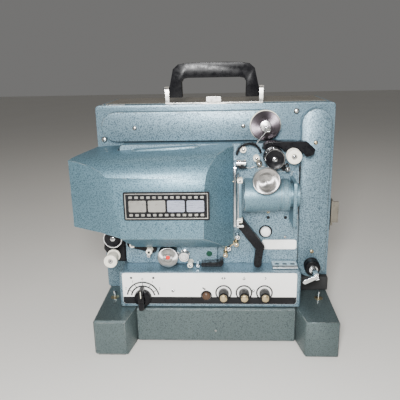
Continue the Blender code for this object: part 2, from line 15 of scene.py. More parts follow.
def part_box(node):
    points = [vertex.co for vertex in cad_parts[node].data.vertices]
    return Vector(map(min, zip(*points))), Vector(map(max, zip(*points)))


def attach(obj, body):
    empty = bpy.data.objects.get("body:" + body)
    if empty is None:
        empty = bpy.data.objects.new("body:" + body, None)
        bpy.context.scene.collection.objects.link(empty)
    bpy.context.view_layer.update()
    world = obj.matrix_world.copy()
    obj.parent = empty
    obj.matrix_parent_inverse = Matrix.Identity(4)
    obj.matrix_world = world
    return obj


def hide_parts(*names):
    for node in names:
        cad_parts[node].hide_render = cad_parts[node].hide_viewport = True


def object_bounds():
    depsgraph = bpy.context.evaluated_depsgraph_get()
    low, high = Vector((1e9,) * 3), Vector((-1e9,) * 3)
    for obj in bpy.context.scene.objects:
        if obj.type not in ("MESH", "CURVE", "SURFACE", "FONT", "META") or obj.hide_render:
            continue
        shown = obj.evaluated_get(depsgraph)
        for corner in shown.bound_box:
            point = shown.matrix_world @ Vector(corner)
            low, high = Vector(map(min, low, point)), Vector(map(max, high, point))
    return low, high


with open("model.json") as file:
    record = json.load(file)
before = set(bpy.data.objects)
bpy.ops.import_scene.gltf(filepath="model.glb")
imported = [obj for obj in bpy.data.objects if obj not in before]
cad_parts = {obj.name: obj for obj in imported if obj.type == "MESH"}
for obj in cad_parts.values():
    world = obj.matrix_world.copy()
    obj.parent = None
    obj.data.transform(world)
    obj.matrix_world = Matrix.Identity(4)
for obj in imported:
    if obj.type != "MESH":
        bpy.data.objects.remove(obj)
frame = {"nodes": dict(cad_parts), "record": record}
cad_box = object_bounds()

MM = 0.001
casting_low, casting_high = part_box("front_casting")
LANDMARK = Vector(((casting_low.x + casting_high.x) / 2, casting_low.y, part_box("pad_left")[0].z))
NODE_SLOT = {part["node"]: part["material_slot"] for part in frame["record"]["subparts"]}
NODE_BODY = {node: body for body, nodes in frame["record"]["behaviour"]["bodies"].items() for node in nodes}
CAMERA_AT = (14.8, -730.5, 410.8)
CAMERA_YAW, CAMERA_PITCH, CAMERA_ROLL = -3.01, 15.81, -1.19
CAMERA_LENS = 43.93
PAINT_GRAIN = 760.0
BUMP_DEPTH = 0.0002
SMOOTH_ANGLE = 35.0
PLATE_DEPTH = -35.1
LOCK_PIN_DEPTH = -63.0
PRINT_LIFT = 0.12
TEETH = 12
DIAL = (-107.9, 74.0)
PILOT = (-13.3, 76.3)
LENS_AXIS = (-60.0, 227.5)
BARE_METAL = (0.5, 0.52, 0.5)
DIRTY_WEAR = (0.24, 0.22, 0.19)
PAINT_CHIP = (0.025, 0.03, 0.03)


def at(x, y, z):
    """A place in millimetres from the landmarks, in metres in the frame."""
    return LANDMARK + Vector((x, y, z)) * MM


def local_box(node):
    """A CAD node's box in millimetres from the landmarks."""
    low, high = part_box(node)
    return (low - LANDMARK) / MM, (high - LANDMARK) / MM


# Materials


class Paint:
    """A Principled material with shorthand for adding the nodes that vary it."""

    def __init__(self, name, colour, roughness, metallic=0.0, **uniform):
        self.material = bpy.data.materials.new(name)
        self.material.use_nodes = True
        self.tree = self.material.node_tree
        self.shader = self.tree.nodes["Principled BSDF"]
        self.set(self.shader, "Base Color", (*colour, 1.0))
        self.set(self.shader, "Roughness", roughness)
        self.set(self.shader, "Metallic", metallic)
        for socket, value in uniform.items():
            self.set(self.shader, socket.replace("_", " "), value)
        self.material.diffuse_color = (*colour, 1.0)
        self.place = self.node("ShaderNodeTexCoord").outputs["Object"]

    def node(self, kind, **settings):
        made = self.tree.nodes.new(kind)
        for name, value in settings.items():
            setattr(made, name, value)
        return made

    def set(self, node, socket, value):
        if isinstance(value, bpy.types.NodeSocket):
            self.tree.links.new(value, node.inputs[socket])
        else:
            node.inputs[socket].default_value = value

    def noise(self, scale, detail=3.0, roughness=0.55, stretch=None):
        made = self.node("ShaderNodeTexNoise")
        place = self.place
        if stretch:
            mapping = self.node("ShaderNodeMapping")
            self.set(mapping, "Vector", place)
            self.set(mapping, "Scale", stretch)
            place = mapping.outputs["Vector"]
        self.set(made, "Vector", place)
        self.set(made, "Scale", scale)
        self.set(made, "Detail", detail)
        self.set(made, "Roughness", roughness)
        return made.outputs["Fac"]

    def grey(self, factor, low, high, start=0.35, end=0.65):
        """The factor as a number that runs from low to high."""
        made = self.node("ShaderNodeMapRange")
        self.set(made, "Value", factor)
        for socket, value in (("From Min", start), ("From Max", end), ("To Min", low), ("To Max", high)):
            self.set(made, socket, value)
        return made.outputs["Result"]

    def mix(self, factor, first, second):
        made = self.node("ShaderNodeMix", data_type="RGBA")
        self.set(made, 0, factor)
        for socket, value in ((6, first), (7, second)):
            self.set(made, socket, (*value, 1.0) if isinstance(value, tuple) and len(value) == 3 else value)
        return made.outputs[2]

    def edges(self, width=0.9, amount=0.8):
        """Near the given amount on sharp edges and zero elsewhere, broken up by noise."""
        rounded_off = self.node("ShaderNodeBevel", samples=4)
        self.set(rounded_off, "Radius", width * MM)
        same = self.node("ShaderNodeVectorMath", operation="DOT_PRODUCT")
        self.set(same, 0, rounded_off.outputs["Normal"])
        self.set(same, 1, self.node("ShaderNodeNewGeometry").outputs["Normal"])
        worn = self.grey(same.outputs["Value"], amount, 0.0, 0.88, 0.985)
        patchy = self.grey(self.noise(110.0), 0.0, 1.0, 0.42, 0.56)
        made = self.node("ShaderNodeMath", operation="MULTIPLY")
        self.set(made, 0, worn)
        self.set(made, 1, patchy)
        return made.outputs["Value"]

    def bump(self, height, strength):
        made = self.node("ShaderNodeBump")
        self.set(made, "Height", height)
        self.set(made, "Strength", strength)
        self.set(made, "Distance", BUMP_DEPTH)
        self.set(self.shader, "Normal", made.outputs["Normal"])

    def use(self, **sockets):
        for name, value in sockets.items():
            self.set(self.shader, name.replace("_", " "), value)
        return self.material


def hammertone(name, light, fleck, fleck_share=0.47, worn_width=0.9, wear=BARE_METAL, chips=False):
    """Hammer-finish enamel: pale silvery blue with small dark flecks in its hollows."""
    paint = Paint(name, light, 0.38, 0.6, Coat_Weight=0.15, Coat_Roughness=0.25)
    speckle = paint.noise(PAINT_GRAIN, 2.0, 0.6)
    broad = paint.noise(9.0, 3.0)
    tone = paint.mix(paint.grey(broad, 0.0, 0.5), light, tuple(0.82 * c for c in light))
    flecked = paint.mix(paint.grey(speckle, 1.0, 0.0, fleck_share - 0.05, fleck_share + 0.03), tone, fleck)
    worn = paint.mix(paint.edges(worn_width), flecked, wear)
    if chips:
        worn = paint.mix(paint.grey(paint.noise(28.0, 5.0, 0.7), 0.0, 1.0, 0.7, 0.72), worn, PAINT_CHIP)
    paint.bump(speckle, 0.35)
    return paint.use(Base_Color=worn, Roughness=paint.grey(speckle, 0.56, 0.42))


def plastic(name, colour, roughness, wear=(0.2, 0.2, 0.2), scale=180.0):
    """Moulded plastic with a fine grain, and rubbed paler on its edges."""
    paint = Paint(name, colour, roughness, 0.0, Specular_IOR_Level=0.16)
    grain = paint.noise(scale, 4.0)
    shade = paint.mix(
        paint.grey(paint.noise(25.0), 0.0, 1.0), colour, tuple(min(1.0, 1.25 * c + 0.004) for c in colour)
)
    paint.bump(grain, 0.12)
    base = paint.mix(paint.edges(0.6, 0.5), shade, wear)
    return paint.use(Base_Color=base, Roughness=paint.grey(grain, roughness - 0.06, roughness + 0.1))


def metal(name, colour, roughness, stretch=None, scale=300.0, stain=0.75, metallic=1.0):
    """Bare or plated metal with fine marks along one direction and faint staining."""
    paint = Paint(name, colour, roughness, metallic)
    marks = paint.noise(scale, 4.0, 0.6, stretch)
    stained = paint.mix(paint.grey(paint.noise(35.0), 0.0, 0.6), colour, tuple(stain * c for c in colour))
    paint.bump(marks, 0.08)
    return paint.use(
        Base_Color=stained, Roughness=paint.grey(marks, roughness * 0.8, roughness * 1.35 + 0.02)
)


def turned_metal(name, colour, roughness, centre_node, rings=2600.0):
    """Metal faced on a lathe: fine rings about the node's axis along Y and a fan-shaped highlight."""
    low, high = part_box(centre_node)
    paint = Paint(name, colour, roughness, 1.0, Anisotropic=0.97)
    mapping = paint.node("ShaderNodeMapping")
    paint.set(mapping, "Vector", paint.place)
    mapping.inputs["Location"].default_value = (-(low.x + high.x) / 2, 0.0, -(low.z + high.z) / 2)
    mapping.inputs["Scale"].default_value = (1.0, 0.0, 1.0)
    length = paint.node("ShaderNodeVectorMath", operation="LENGTH")
    paint.set(length, 0, mapping.outputs["Vector"])
    rings_noise = paint.node("ShaderNodeTexNoise", noise_dimensions="1D")
    paint.set(rings_noise, "W", length.outputs["Value"])
    paint.set(rings_noise, "Scale", rings)
    tangent = paint.node("ShaderNodeTangent", direction_type="RADIAL", axis="Y")
    paint.bump(rings_noise.outputs["Fac"], 0.1)
    return paint.use(
        Roughness=paint.grey(rings_noise.outputs["Fac"], roughness * 0.8, roughness * 1.5),
        Base_Color=paint.mix(paint.grey(paint.noise(40.0), 0.0, 0.5), colour, tuple(0.7 * c for c in colour)),
        Tangent=tangent.outputs["Tangent"],
    )


def clear_glass(name, tint):
    paint = Paint(name, tint, 0.03, 0.0, Transmission_Weight=0.9, IOR=1.5)
    smear = paint.noise(60.0)
    return paint.use(Roughness=paint.grey(smear, 0.02, 0.09))


BODY_PAINT = hammertone("body_hammertone", (0.195, 0.295, 0.355), (0.045, 0.085, 0.115), 0.47)
ARM_PAINT = hammertone("arm_hammertone", (0.18, 0.275, 0.33), (0.045, 0.08, 0.105), 0.47, 3.2, DIRTY_WEAR)
COVER_PAINT = hammertone("cover_hammertone", (0.14, 0.25, 0.31), (0.04, 0.09, 0.12), 0.46, 1.3)
BASE_PAINT = hammertone("base_hammertone", (0.105, 0.14, 0.142), (0.045, 0.062, 0.065), 0.44, chips=True)
BARREL_PAINT = hammertone("barrel_enamel", (0.14, 0.24, 0.29), (0.07, 0.13, 0.17), 0.45)
BLACK = plastic("black_moulding", (0.003, 0.003, 0.004), 0.27, (0.06, 0.06, 0.06))
# Black enamel for real black parts, also used for thin black sheets of painted shade in gaps, slots and holes
BLACK_ENAMEL_AND_SHADE = plastic("black_enamel_and_painted_shade", (0.006, 0.006, 0.007), 0.32, (0.12, 0.12, 0.12))
RUBBER = plastic("black_rubber", (0.02, 0.02, 0.02), 0.75, (0.05, 0.05, 0.05), 400.0)
CREAM = plastic("cream_moulding", (0.75, 0.72, 0.62), 0.35, (0.55, 0.5, 0.38))
WHITE = plastic("white_button", (0.85, 0.87, 0.86), 0.25, (0.6, 0.6, 0.55))
BROWN = plastic("brown_lens", (0.07, 0.04, 0.025), 0.15, (0.2, 0.15, 0.1))
RED = plastic("red_dot", (0.55, 0.02, 0.015), 0.35, (0.4, 0.1, 0.08))
GREEN = plastic("dark_green_dot", (0.004, 0.035, 0.02), 0.3)
CHROME = metal("chrome_plate", (0.78, 0.79, 0.8), 0.12)
STEEL = metal("bright_steel", (0.52, 0.51, 0.48), 0.28, (1.0, 30.0, 1.0), 120.0)
AGED_STEEL = metal("aged_steel", (0.27, 0.25, 0.21), 0.34, None, 200.0, 0.5)
BRASS = metal("warm_brass", (0.62, 0.5, 0.3), 0.28)
SILVER = metal("silver_panel", (0.95, 0.94, 0.91), 0.36, (1.0, 30.0, 30.0), 60.0, 0.95, 0.12)
ALUMINIUM = metal("aluminium", (0.75, 0.75, 0.74), 0.3)
FOCUS_FACE = turned_metal("focus_knob_face", (0.5, 0.49, 0.48), 0.34, "focus_knob")
DISC_FACE = turned_metal("anodised_disc", (0.17, 0.145, 0.165), 0.34, "takeup_spindle")
DRUM_FACE = turned_metal("sound_drum_face", (0.5, 0.5, 0.49), 0.34, "sound_drum")
GLASS = clear_glass("coated_glass", (0.75, 0.85, 0.95))
BOARD = plastic("circuit_board", (0.02, 0.12, 0.05), 0.5)
STICKER = plastic("blank_sticker", (0.82, 0.82, 0.78), 0.4, (0.6, 0.58, 0.5))
# Dark brown gloss for the case's top: painted reflection of the wooden surroundings and painted shade on the
# blue-grey top
PAINTED_TOP_REFLECTION = plastic("case_top_painted_reflection", (0.13, 0.115, 0.09), 0.22, (0.3, 0.28, 0.24), 60.0)
PLATE_BLUE = metal("nameplate_tint", (0.42, 0.45, 0.56), 0.3, (1.0, 1.0, 20.0), 90.0, 0.8, 0.7)

SLOT_LOOKS = {
    "hammertone": BODY_PAINT, "black_plastic": BLACK, "black_paint": BLACK_ENAMEL_AND_SHADE, "rubber": RUBBER,
    "chrome": CHROME, "brushed": ALUMINIUM, "silver_panel": SILVER, "cream": CREAM,
    "anodised": DISC_FACE, "blue_barrel": BARREL_PAINT, "glass": GLASS, "steel": STEEL, "board": BOARD,
    "brown": BROWN,
}
# The usual slot of each material, which finish_mesh() and wire() look up when a fitting names none but give
# to nothing
USUAL_SLOT = {look: slot for slot, look in SLOT_LOOKS.items()}
USUAL_SLOT[BRASS] = "steel"
NODE_LOOKS = {
    "base_pan": BASE_PAINT,
    "foot_left": BASE_PAINT,
    "foot_right": BASE_PAINT,
    "lamphouse_cover": COVER_PAINT,
    "inching_button": WHITE,
    "supply_latch": CHROME,
    "supply_arm": ARM_PAINT,
    "takeup_arm": ARM_PAINT,
    "side_latch": AGED_STEEL,
}

# Shapes


def finish_mesh(name, bm, material, body, slot=None):
    bmesh.ops.recalc_face_normals(bm, faces=bm.faces)
    mesh = bpy.data.meshes.new(name)
    bm.to_mesh(mesh)
    bm.free()
    mesh.materials.append(material)
    mesh.shade_smooth()
    mesh.set_sharp_from_angle(angle=math.radians(SMOOTH_ANGLE))
    piece = bpy.data.objects.new(name, mesh)
    bpy.context.scene.collection.objects.link(piece)
    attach(piece, body)
    slot = slot or USUAL_SLOT[material]
    return piece


AXIS_TURN = {
    "X": Matrix(((0, 0, 1), (1, 0, 0), (0, 1, 0))),
    "Y": Matrix(((1, 0, 0), (0, 0, 1), (0, 1, 0))),
    "Z": Matrix.Identity(3),
}


def turned(name, profile, along, centre, material, body, steps=48, flutes=0, depth=0.0, slot=None):
    """A profile of (radius, position) turned about an axis. Flutes are shallow grooves along its side."""
    bm = bmesh.new()
    widest = max(radius for radius, _ in profile)
    rings = []
    for radius, position in profile:
        ring = []
        for i in range(steps if radius > 0 else 1):
            angle = 2 * math.pi * i / steps
            reach = radius
            if flutes and radius > 0.9 * widest:
                reach -= depth * (0.5 - 0.5 * math.cos(flutes * angle))
            point = Vector((reach * math.cos(angle), reach * math.sin(angle), position))
            ring.append(bm.verts.new(point))
        rings.append(ring)
    for first, second in zip(rings, rings[1:]):
        for i in range(steps):
            corners = [first[i % len(first)], first[(i + 1) % len(first)]]
            corners += [second[(i + 1) % len(second)], second[i % len(second)]]
            corners = list(dict.fromkeys(corners))
            if len(corners) > 2:
                bm.faces.new(corners)
    a, b = centre
    where = {"X": (0, a, b), "Y": (a, 0, b), "Z": (a, b, 0)}[along]
    bm.transform(AXIS_TURN[along].to_4x4())
    bm.transform(Matrix.Translation(at(*where)) @ Matrix.Scale(MM, 4))
    return finish_mesh(name, bm, material, body, slot=slot)


def slab(name, outline, across, start, end, material, body, bevel=0.0, segments=2, slot=None):
    """A flat outline with an even thickness along the axis that it lies across."""
    bm = bmesh.new()
    face = bm.faces.new([bm.verts.new(Vector((u, v, start))) for u, v in outline])
    raised = bmesh.ops.extrude_face_region(bm, geom=[face])["geom"]
    bmesh.ops.translate(
        bm, vec=(0, 0, end - start), verts=[g for g in raised if isinstance(g, bmesh.types.BMVert)]
)
    if bevel:
        sharp = [e for e in bm.edges if e.calc_face_angle(0.0) > math.radians(30)]
        bmesh.ops.bevel(bm, geom=sharp, offset=bevel, segments=segments, affect="EDGES", clamp_overlap=True)
    bm.transform(AXIS_TURN[across].to_4x4())
    bm.transform(Matrix.Translation(LANDMARK) @ Matrix.Scale(MM, 4))
    return finish_mesh(name, bm, material, body, slot=slot)


def block(name, low, high, material, body, bevel=0.4, slot=None):
    outline = [(low[0], low[2]), (high[0], low[2]), (high[0], high[2]), (low[0], high[2])]
    return slab(name, outline, "Y", low[1], high[1], material, body, bevel, slot=slot)


def wire(name, points, radius, material, body, closed=False, slot=None):
    """Round wire through points in millimetres."""
    curve = bpy.data.curves.new(name, "CURVE")
    curve.dimensions = "3D"
    curve.bevel_depth = radius * MM
    curve.bevel_resolution = 3
    curve.use_fill_caps = True
    spline = curve.splines.new("POLY")
    spline.points.add(len(points) - 1)
    spline.use_cyclic_u = closed
    for point, where in zip(spline.points, points):
        point.co = (*at(*where), 1.0)
    curve.materials.append(material)
    piece = bpy.data.objects.new(name, curve)
    bpy.context.scene.collection.objects.link(piece)
    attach(piece, body)
    slot = slot or USUAL_SLOT[material]
    return piece


def arc(centre, radius, start, end, steps):
    turn = (end - start) / steps
    angles = [math.radians(start + turn * i) for i in range(steps + 1)]
    return [(centre[0] + radius * math.cos(a), centre[1] + radius * math.sin(a)) for a in angles]


def rounded(low, high, radius, steps=5):
    (x0, z0), (x1, z1) = low, high
    corners = (
        ((x1 - radius, z1 - radius), 0),
        ((x0 + radius, z1 - radius), 90),
        ((x0 + radius, z0 + radius), 180),
        ((x1 - radius, z0 + radius), 270),
    )
    return [point for centre, turn in corners for point in arc(centre, radius, turn, turn + 90, steps)]


def along_heading(centre, heading, u, v):
    """A point u along a heading in degrees and v to its left, in the plane of X and Z."""
    turn = math.radians(heading)
    return (
        centre[0] + u * math.cos(turn) - v * math.sin(turn),
        centre[1] + u * math.sin(turn) + v * math.cos(turn)
)


def band(centre, outer, inner, start, end, steps=32):
    """The outline of an arc-shaped strip, its ends in degrees."""
    return arc(centre, outer, start, end, steps) + arc(centre, inner, end, start, steps)


def screw(name, centre, radius, front, material, body, slot_turn=30.0, slot=None):
    """A domed screw head facing the front, with a driver slot drawn as a thin black sheet of painted shade.
    Its top is at front.
    """
    rise = 0.35 * radius
    profile = [(0, front), (0.55 * radius, front + 0.12 * rise), (0.85 * radius, front + 0.5 * rise)]
    profile += [(radius, front + rise), (radius, front + rise + 0.6), (0, front + rise + 0.6)]
    turned(name, profile, "Y", centre, material, body, 24, slot=slot)
    width, long = 0.16 * radius, 0.8 * radius
    corners = [(-long, -width), (long, -width), (long, width), (-long, width)]
    placed = [along_heading(centre, slot_turn, u, v) for u, v in corners]
    # The driver slot is a black sheet on the head: painted shade
    slab(name + "_groove", placed, "Y", front - 0.03, front + 0.1, BLACK_ENAMEL_AND_SHADE, body)


def look_of(node):
    return NODE_LOOKS.get(node) or SLOT_LOOKS[NODE_SLOT[node]]


def dress(node, bevel):
    """A finer copy of a CAD node, with rounded edges and smooth round sides, that stands for it."""
    source = frame["nodes"][node]
    bm = bmesh.new()
    bm.from_mesh(source.data)
    bmesh.ops.remove_doubles(bm, verts=bm.verts, dist=0.00001)
    bmesh.ops.dissolve_limit(bm, angle_limit=math.radians(1.0), verts=bm.verts, edges=bm.edges)
    piece = finish_mesh(node + "_fine", bm, look_of(node), NODE_BODY[node], slot=NODE_SLOT[node])
    if bevel:
        soften = piece.modifiers.new("soften", "BEVEL")
        soften.width = bevel * MM
        soften.segments = 2
        soften.limit_method = "ANGLE"
        soften.angle_limit = math.radians(35)
        soften.harden_normals = True
    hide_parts(node)


# CAD nodes that keep their own mesh get the look of their slot
for node_name, node_object in frame["nodes"].items():
    node_object.data.materials.clear()
    node_object.data.materials.append(look_of(node_name))

# Width of the rounding on each dressed node's edges, in millimetres
EDGED_NODES = {
    "lamphouse_cover": 1.6, "supply_arm": 0.0, "takeup_arm": 0.0, "front_casting": 0.0,
    "rear_case": 0.0, "mechanism_housing": 0.0, "control_housing": 0.0, "base_pan": 0.0,
    "foot_left": 0.0, "foot_right": 0.0, "handle": 0.0, "control_panel": 0.25, "upper_guide": 1.2,
    "threading_lever": 1.2, "tension_arm": 0.8, "lower_casting": 0.6, "loop_former": 0.4,
    "sound_head": 0.6, "gate_door": 0.4, "lens_bracket": 0.5, "gate_plate": 0.4, "handle_bracket": 0.4,
    "film_trimmer": 0.4, "side_latch": 0.4, "top_latch": 0.4, "stop_block": 0.3, "power_inlet": 0.4,
    "rear_grille": 0.3, "supply_latch": 0.5, "lens_holder": 0.0, "lens": 0.3, "lamp": 0.0,
    "lamp_socket": 0.4, "reflector": 0.0, "condenser": 0.0, "pilot_button": 0.3, "case_gasket": 0.0,
}
for node_name, width in EDGED_NODES.items():
    dress(node_name, width)


# The round pieces, turned finely from the frame's own sizes


def centre_of(node):
    low, high = local_box(node)
    return ((low.x + high.x) / 2, (low.z + high.z) / 2)


def round_pieces():
    low, high = local_box("focus_knob")
    centre, radius, front = centre_of("focus_knob"), (high.x - low.x) / 2, low.y
    profile = [(0, front + 0.9), (2.2, front + 0.9), (3.0, front + 0.5), (radius * 0.55, front + 0.5)]
    profile += [(radius * 0.58, front + 0.9), (radius * 0.62, front + 0.9), (radius * 0.65, front + 0.4)]
    profile += [
        (radius - 2.2, front + 0.3), (radius - 1.6, front), (radius - 0.6, front), (radius, front + 0.8)
]
    profile += [
        (radius, front + 8.8), (radius - 0.6, front + 9.6), (6, front + 10), (3, front + 10), (3, high.y)
]
    profile += [(0, high.y)]
    knob = turned(
        "focus_knob_fine", profile, "Y", centre, FOCUS_FACE, "focus_knob_body", 96, 96, 0.35, slot="brushed"
)
    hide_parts("focus_knob")

    low, high = local_box("takeup_spindle")
    x, z = centre_of("takeup_spindle")
    disc = [(8.2, -26.2), (14, -26.25), (20.7, -26), (21.4, -25.3), (21.4, -21.4), (8.2, -21.4)]
    face = turned("takeup_disc_face", disc, "Y", (x, z), DISC_FACE, "takeup_spindle_body", 96)
    ring = [(10, -21.3), (21.9, -21.3), (22.3, -20.8), (22.3, -17.3), (21.8, -16.8), (10, -16.8)]
    turned("takeup_friction_ring", ring, "Y", (x, z), CREAM, "takeup_spindle_body", 64)
    hub = [(0, -27.2), (5.5, -27.2), (7.4, -26.8), (8.0, -26), (8.0, -16.5), (0, -16.5)]
    turned("takeup_hub", hub, "Y", (x, z), ALUMINIUM, "takeup_spindle_body", 48)
    block(
        "takeup_shaft", (x - 3.9, -58.2, z - 3.9), (x + 3.9, -26.5, z + 3.9), CHROME, "takeup_spindle_body",
        0.8
)
    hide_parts("takeup_spindle")
    clevis("takeup", (x, z), 231.0, 0.9)
    wire_key((x, z), 231.0)

    x, z = centre_of("supply_spindle")
    hub = [
        (0, -33.9), (9.6, -33.9), (11.3, -33.2), (12, -32), (12, -24), (11.2, -23.4), (11.2, -20), (12, -19.4)
]
    hub += [(12, -16.4), (0, -16.4)]
    hub_piece = turned("supply_hub", hub, "Y", (x, z), BLACK, "supply_spindle_body", 64)
    block(
        "supply_shaft", (x - 3.9, -59.8, z - 3.9), (x + 3.9, -33, z + 3.9), CHROME, "supply_spindle_body", 0.9
)
    turned(
        "supply_collar", [(0, -38), (6.2, -38), (6.8, -37.4), (6.8, -33.9), (0, -33.9)], "Y", (x, z), CHROME,
        "supply_spindle_body"
)
    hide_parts("supply_spindle")
    clevis("supply", (x, z), 206.0, 3.4)

    for node in ("upper_sprocket", "lower_sprocket"):
        sprocket(node)
    for node in ("upper_roller", "lower_roller"):
        roller(node)

    low, high = local_box("sound_drum")
    front, rear, radius = low.y, high.y, (high.x - low.x) / 2
    profile = [
        (0, front + 1.4), (4.6, front + 1.4), (5.2, front + 2.2), (6.6, front + 2.2), (7.4, front + 0.4)
]
    profile += [
        (radius - 1.4, front), (radius - 0.4, front + 0.4), (radius, front + 1.2), (radius, rear), (0, rear)
]
    drum = turned(
        "sound_drum_fine", profile, "Y", centre_of("sound_drum"), DRUM_FACE, "sound_drum_body", 72,
        slot="chrome"
)
    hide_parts("sound_drum")
    turned(
        "sound_drum_dot", [(0, front + 1), (2.6, front + 1.05), (3.4, front + 1.5), (0, front + 1.5)], "Y",
        centre_of("sound_drum"), RED, "sound_drum_body", 32, slot="brown"
)

    low, high = local_box("sound_pulley")
    front, rear, radius = low.y, high.y, (high.x - low.x) / 2
    profile = [
        (0, front + 0.6), (2.6, front + 0.6), (3.2, front + 1.4), (5.2, front + 1.4), (6, front), (7.2, front)
]
    profile += [
        (radius, front + 0.8), (radius, front + 4), (6, front + 5), (6, rear - 4.4), (radius, rear - 3.4),
        (radius, rear), (0, rear)
]
    pulley = turned(
        "sound_pulley_fine", profile, "Y", centre_of("sound_pulley"), CHROME, "sound_pulley_body", 48,
        slot="brushed"
)
    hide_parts("sound_pulley")

    for node in ("volume_knob", "tone_knob", "balance_knob"):
        panel_knob(node)
    mode_knob()
    button()


def clevis(side, centre, heading, half_width):
    """Two ears on a spindle's tip and the pin through them that the lock turns on."""
    body = side + "_spindle_body"
    for number, edge in enumerate((-1, 1)):
        near, far = edge * (half_width + 0.25), edge * (half_width + 1.25)
        corners = [(-2.2, near), (2.2, near), (2.2, far), (-2.2, far)]
        outline = [along_heading(centre, heading, u, v) for u, v in corners]
        slab(f"{side}_ear_{number}", outline, "Y", -65.0, -57.9, CHROME, body, 0.25)
    ends = [along_heading(centre, heading, 0, v) for v in (-half_width - 1.7, half_width + 1.7)]
    wire(side + "_lock_pin", [(x, LOCK_PIN_DEPTH, z) for x, z in ends], 0.85, STEEL, body)


def wire_key(centre, heading):
    """The take-up spindle's lock: a ring of wire round the pin with a straight tail."""
    ring = [(x, LOCK_PIN_DEPTH, z) for x, z in arc(centre, 3.5, 0, 342, 19)]
    loop = wire("takeup_lock_ring", ring, 0.7, CHROME, "takeup_latch_body", True)
    tail = [along_heading(centre, heading, u, 0) for u in (3.6, 24.2)]
    wire("takeup_lock_tail", [(x, LOCK_PIN_DEPTH, z) for x, z in tail], 0.75, CHROME, "takeup_latch_body")
    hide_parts("takeup_latch")


def sprocket(node):
    """A black drum between two flanges, with a ring of teeth and a bright rim on the front."""
    low, high = local_box(node)
    front, body, centre = low.y, NODE_BODY[node], centre_of(node)
    profile = [
        (0, front + 2.2), (4, front + 2.2), (11.4, front + 2.0), (12.4, front + 1.5), (13.6, front + 1.5)
]
    profile += [
        (14.5, front + 2.4), (14.5, front + 6), (11.6, front + 6.8), (11.6, front + 21), (14.5, front + 22)
]
    profile += [(14.5, front + 27.2), (5, front + 27.4), (5, high.y), (0, high.y)]
    drum = turned(node + "_fine", profile, "Y", centre, BLACK, body, 64)
    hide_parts(node)
    rim = [
        (12.5, front + 1.9), (12.7, front + 1.2), (13.9, front + 1.2), (14.3, front + 2.0),
        (12.5, front + 2.2)
]
    turned(node + "_rim", rim, "Y", centre, CHROME, body, 64)
    cap = [(0, front), (2.6, front + 0.1), (3.6, front + 0.8), (3.9, front + 2.3), (0, front + 2.3)]
    turned(node + "_screw", cap, "Y", centre, CHROME, body, 32)
    x, z = centre
    # The screw's slot is a black bar on its face: painted shade
    corners = (x - 2.4, front - 0.02, z - 0.35), (x + 2.4, front + 0.4, z + 0.35)
    block(node + "_screw_slot", *corners, BLACK_ENAMEL_AND_SHADE, body, 0.0)
    for tooth in range(TEETH):
        angle = 2 * math.pi * tooth / TEETH
        x, z = centre[0] + 12.1 * math.cos(angle), centre[1] + 12.1 * math.sin(angle)
        profile = [(0, front + 19.6), (0.9, front + 19.9), (0.9, front + 21.2), (0, front + 21.4)]
        turned(f"{node}_tooth_{tooth}", profile, "Y", (x, z), CHROME, body, 10)


def roller(node):
    """A cream roller with a relieved middle and a bright screw."""
    low, high = local_box(node)
    front, body, centre, radius = low.y, NODE_BODY[node], centre_of(node), (high.x - low.x) / 2
    rear = -51.0 if node == "upper_roller" else -39.3
    profile = [
        (0, front + 0.9), (3.6, front + 0.9), (4.4, front + 0.2), (radius - 1.3, front),
        (radius - 0.3, front + 0.5)
]
    profile += [
        (radius, front + 1.4), (radius, front + 4), (radius - 1.4, front + 4.8), (radius - 1.6, rear - 4.4)
]
    profile += [
        (radius, rear - 3.4), (radius, rear - 0.6), (radius - 0.6, rear), (3, rear), (3, high.y), (0, high.y)
]
    body_piece = turned(node + "_fine", profile, "Y", centre, CREAM, body, 64)
    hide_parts(node)
    turned(
        node + "_washer", [(0, front + 0.5), (3.6, front + 0.5), (3.9, front + 0.9), (0, front + 0.95)], "Y",
        centre, STEEL, body, 32
)
    screw(node + "_screw", centre, 2.7, front, CHROME, body, slot_turn=60)


def panel_knob(node):
    """A fluted black knob with a brass cap, in a raised ring on the panel."""
    low, high = local_box(node)
    front, body, centre = low.y, NODE_BODY[node], centre_of(node)
    panel_front = local_box("control_panel")[0].y
    profile = [
        (0, front + 4.4), (6.9, front + 4.4), (7.5, front + 5), (7.9, panel_front - 1),
        (7.6, panel_front - 0.3)
]
    profile += [(3, panel_front - 0.3), (3, high.y), (0, high.y)]
    knob = turned(node + "_fine", profile, "Y", centre, BLACK, body, 96, 24, 0.5)
    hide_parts(node)
    cap = [
        (0, front + 0.2), (3.6, front + 0.3), (4.9, front + 0.9), (5.4, front + 1.8), (5.5, front + 4.4),
        (0, front + 4.4)
]
    turned(node + "_cap", cap, "Y", centre, BRASS, body, 48)


def mode_knob():
    low, high = local_box("mode_knob")
    front = local_box("control_panel")[0].y
    skirt = [
        (0, front - 8.2), (11, front - 8.2), (12.6, front - 7.4), (13, front - 6.2), (13, front - 0.3),
        (3, front - 0.3), (3, high.y), (0, high.y)
]
    knob = turned("mode_knob_skirt", skirt, "Y", DIAL, BLACK, "mode_knob_body", 72, 36, 0.35)
    x, z = DIAL
    grip = [
        (x - 3.4, z - 12.6), (x + 3.4, z - 12.6), (x + 4.4, z - 6), (x + 2.6, z + 20.2), (x - 2.6, z + 20.2),
        (x - 4.4, z - 6)
]
    slab("mode_knob_pointer", grip, "Y", low.y + 0.1, front - 3, BLACK, "mode_knob_body", 1.1, 3)
    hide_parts("mode_knob")
    line = [(x - 0.45, z + 8), (x + 0.45, z + 8), (x + 0.45, z + 18.6), (x - 0.45, z + 18.6)]
    slab("mode_knob_line", line, "Y", low.y + 0.03, low.y + 0.4, CREAM, "mode_knob_body")


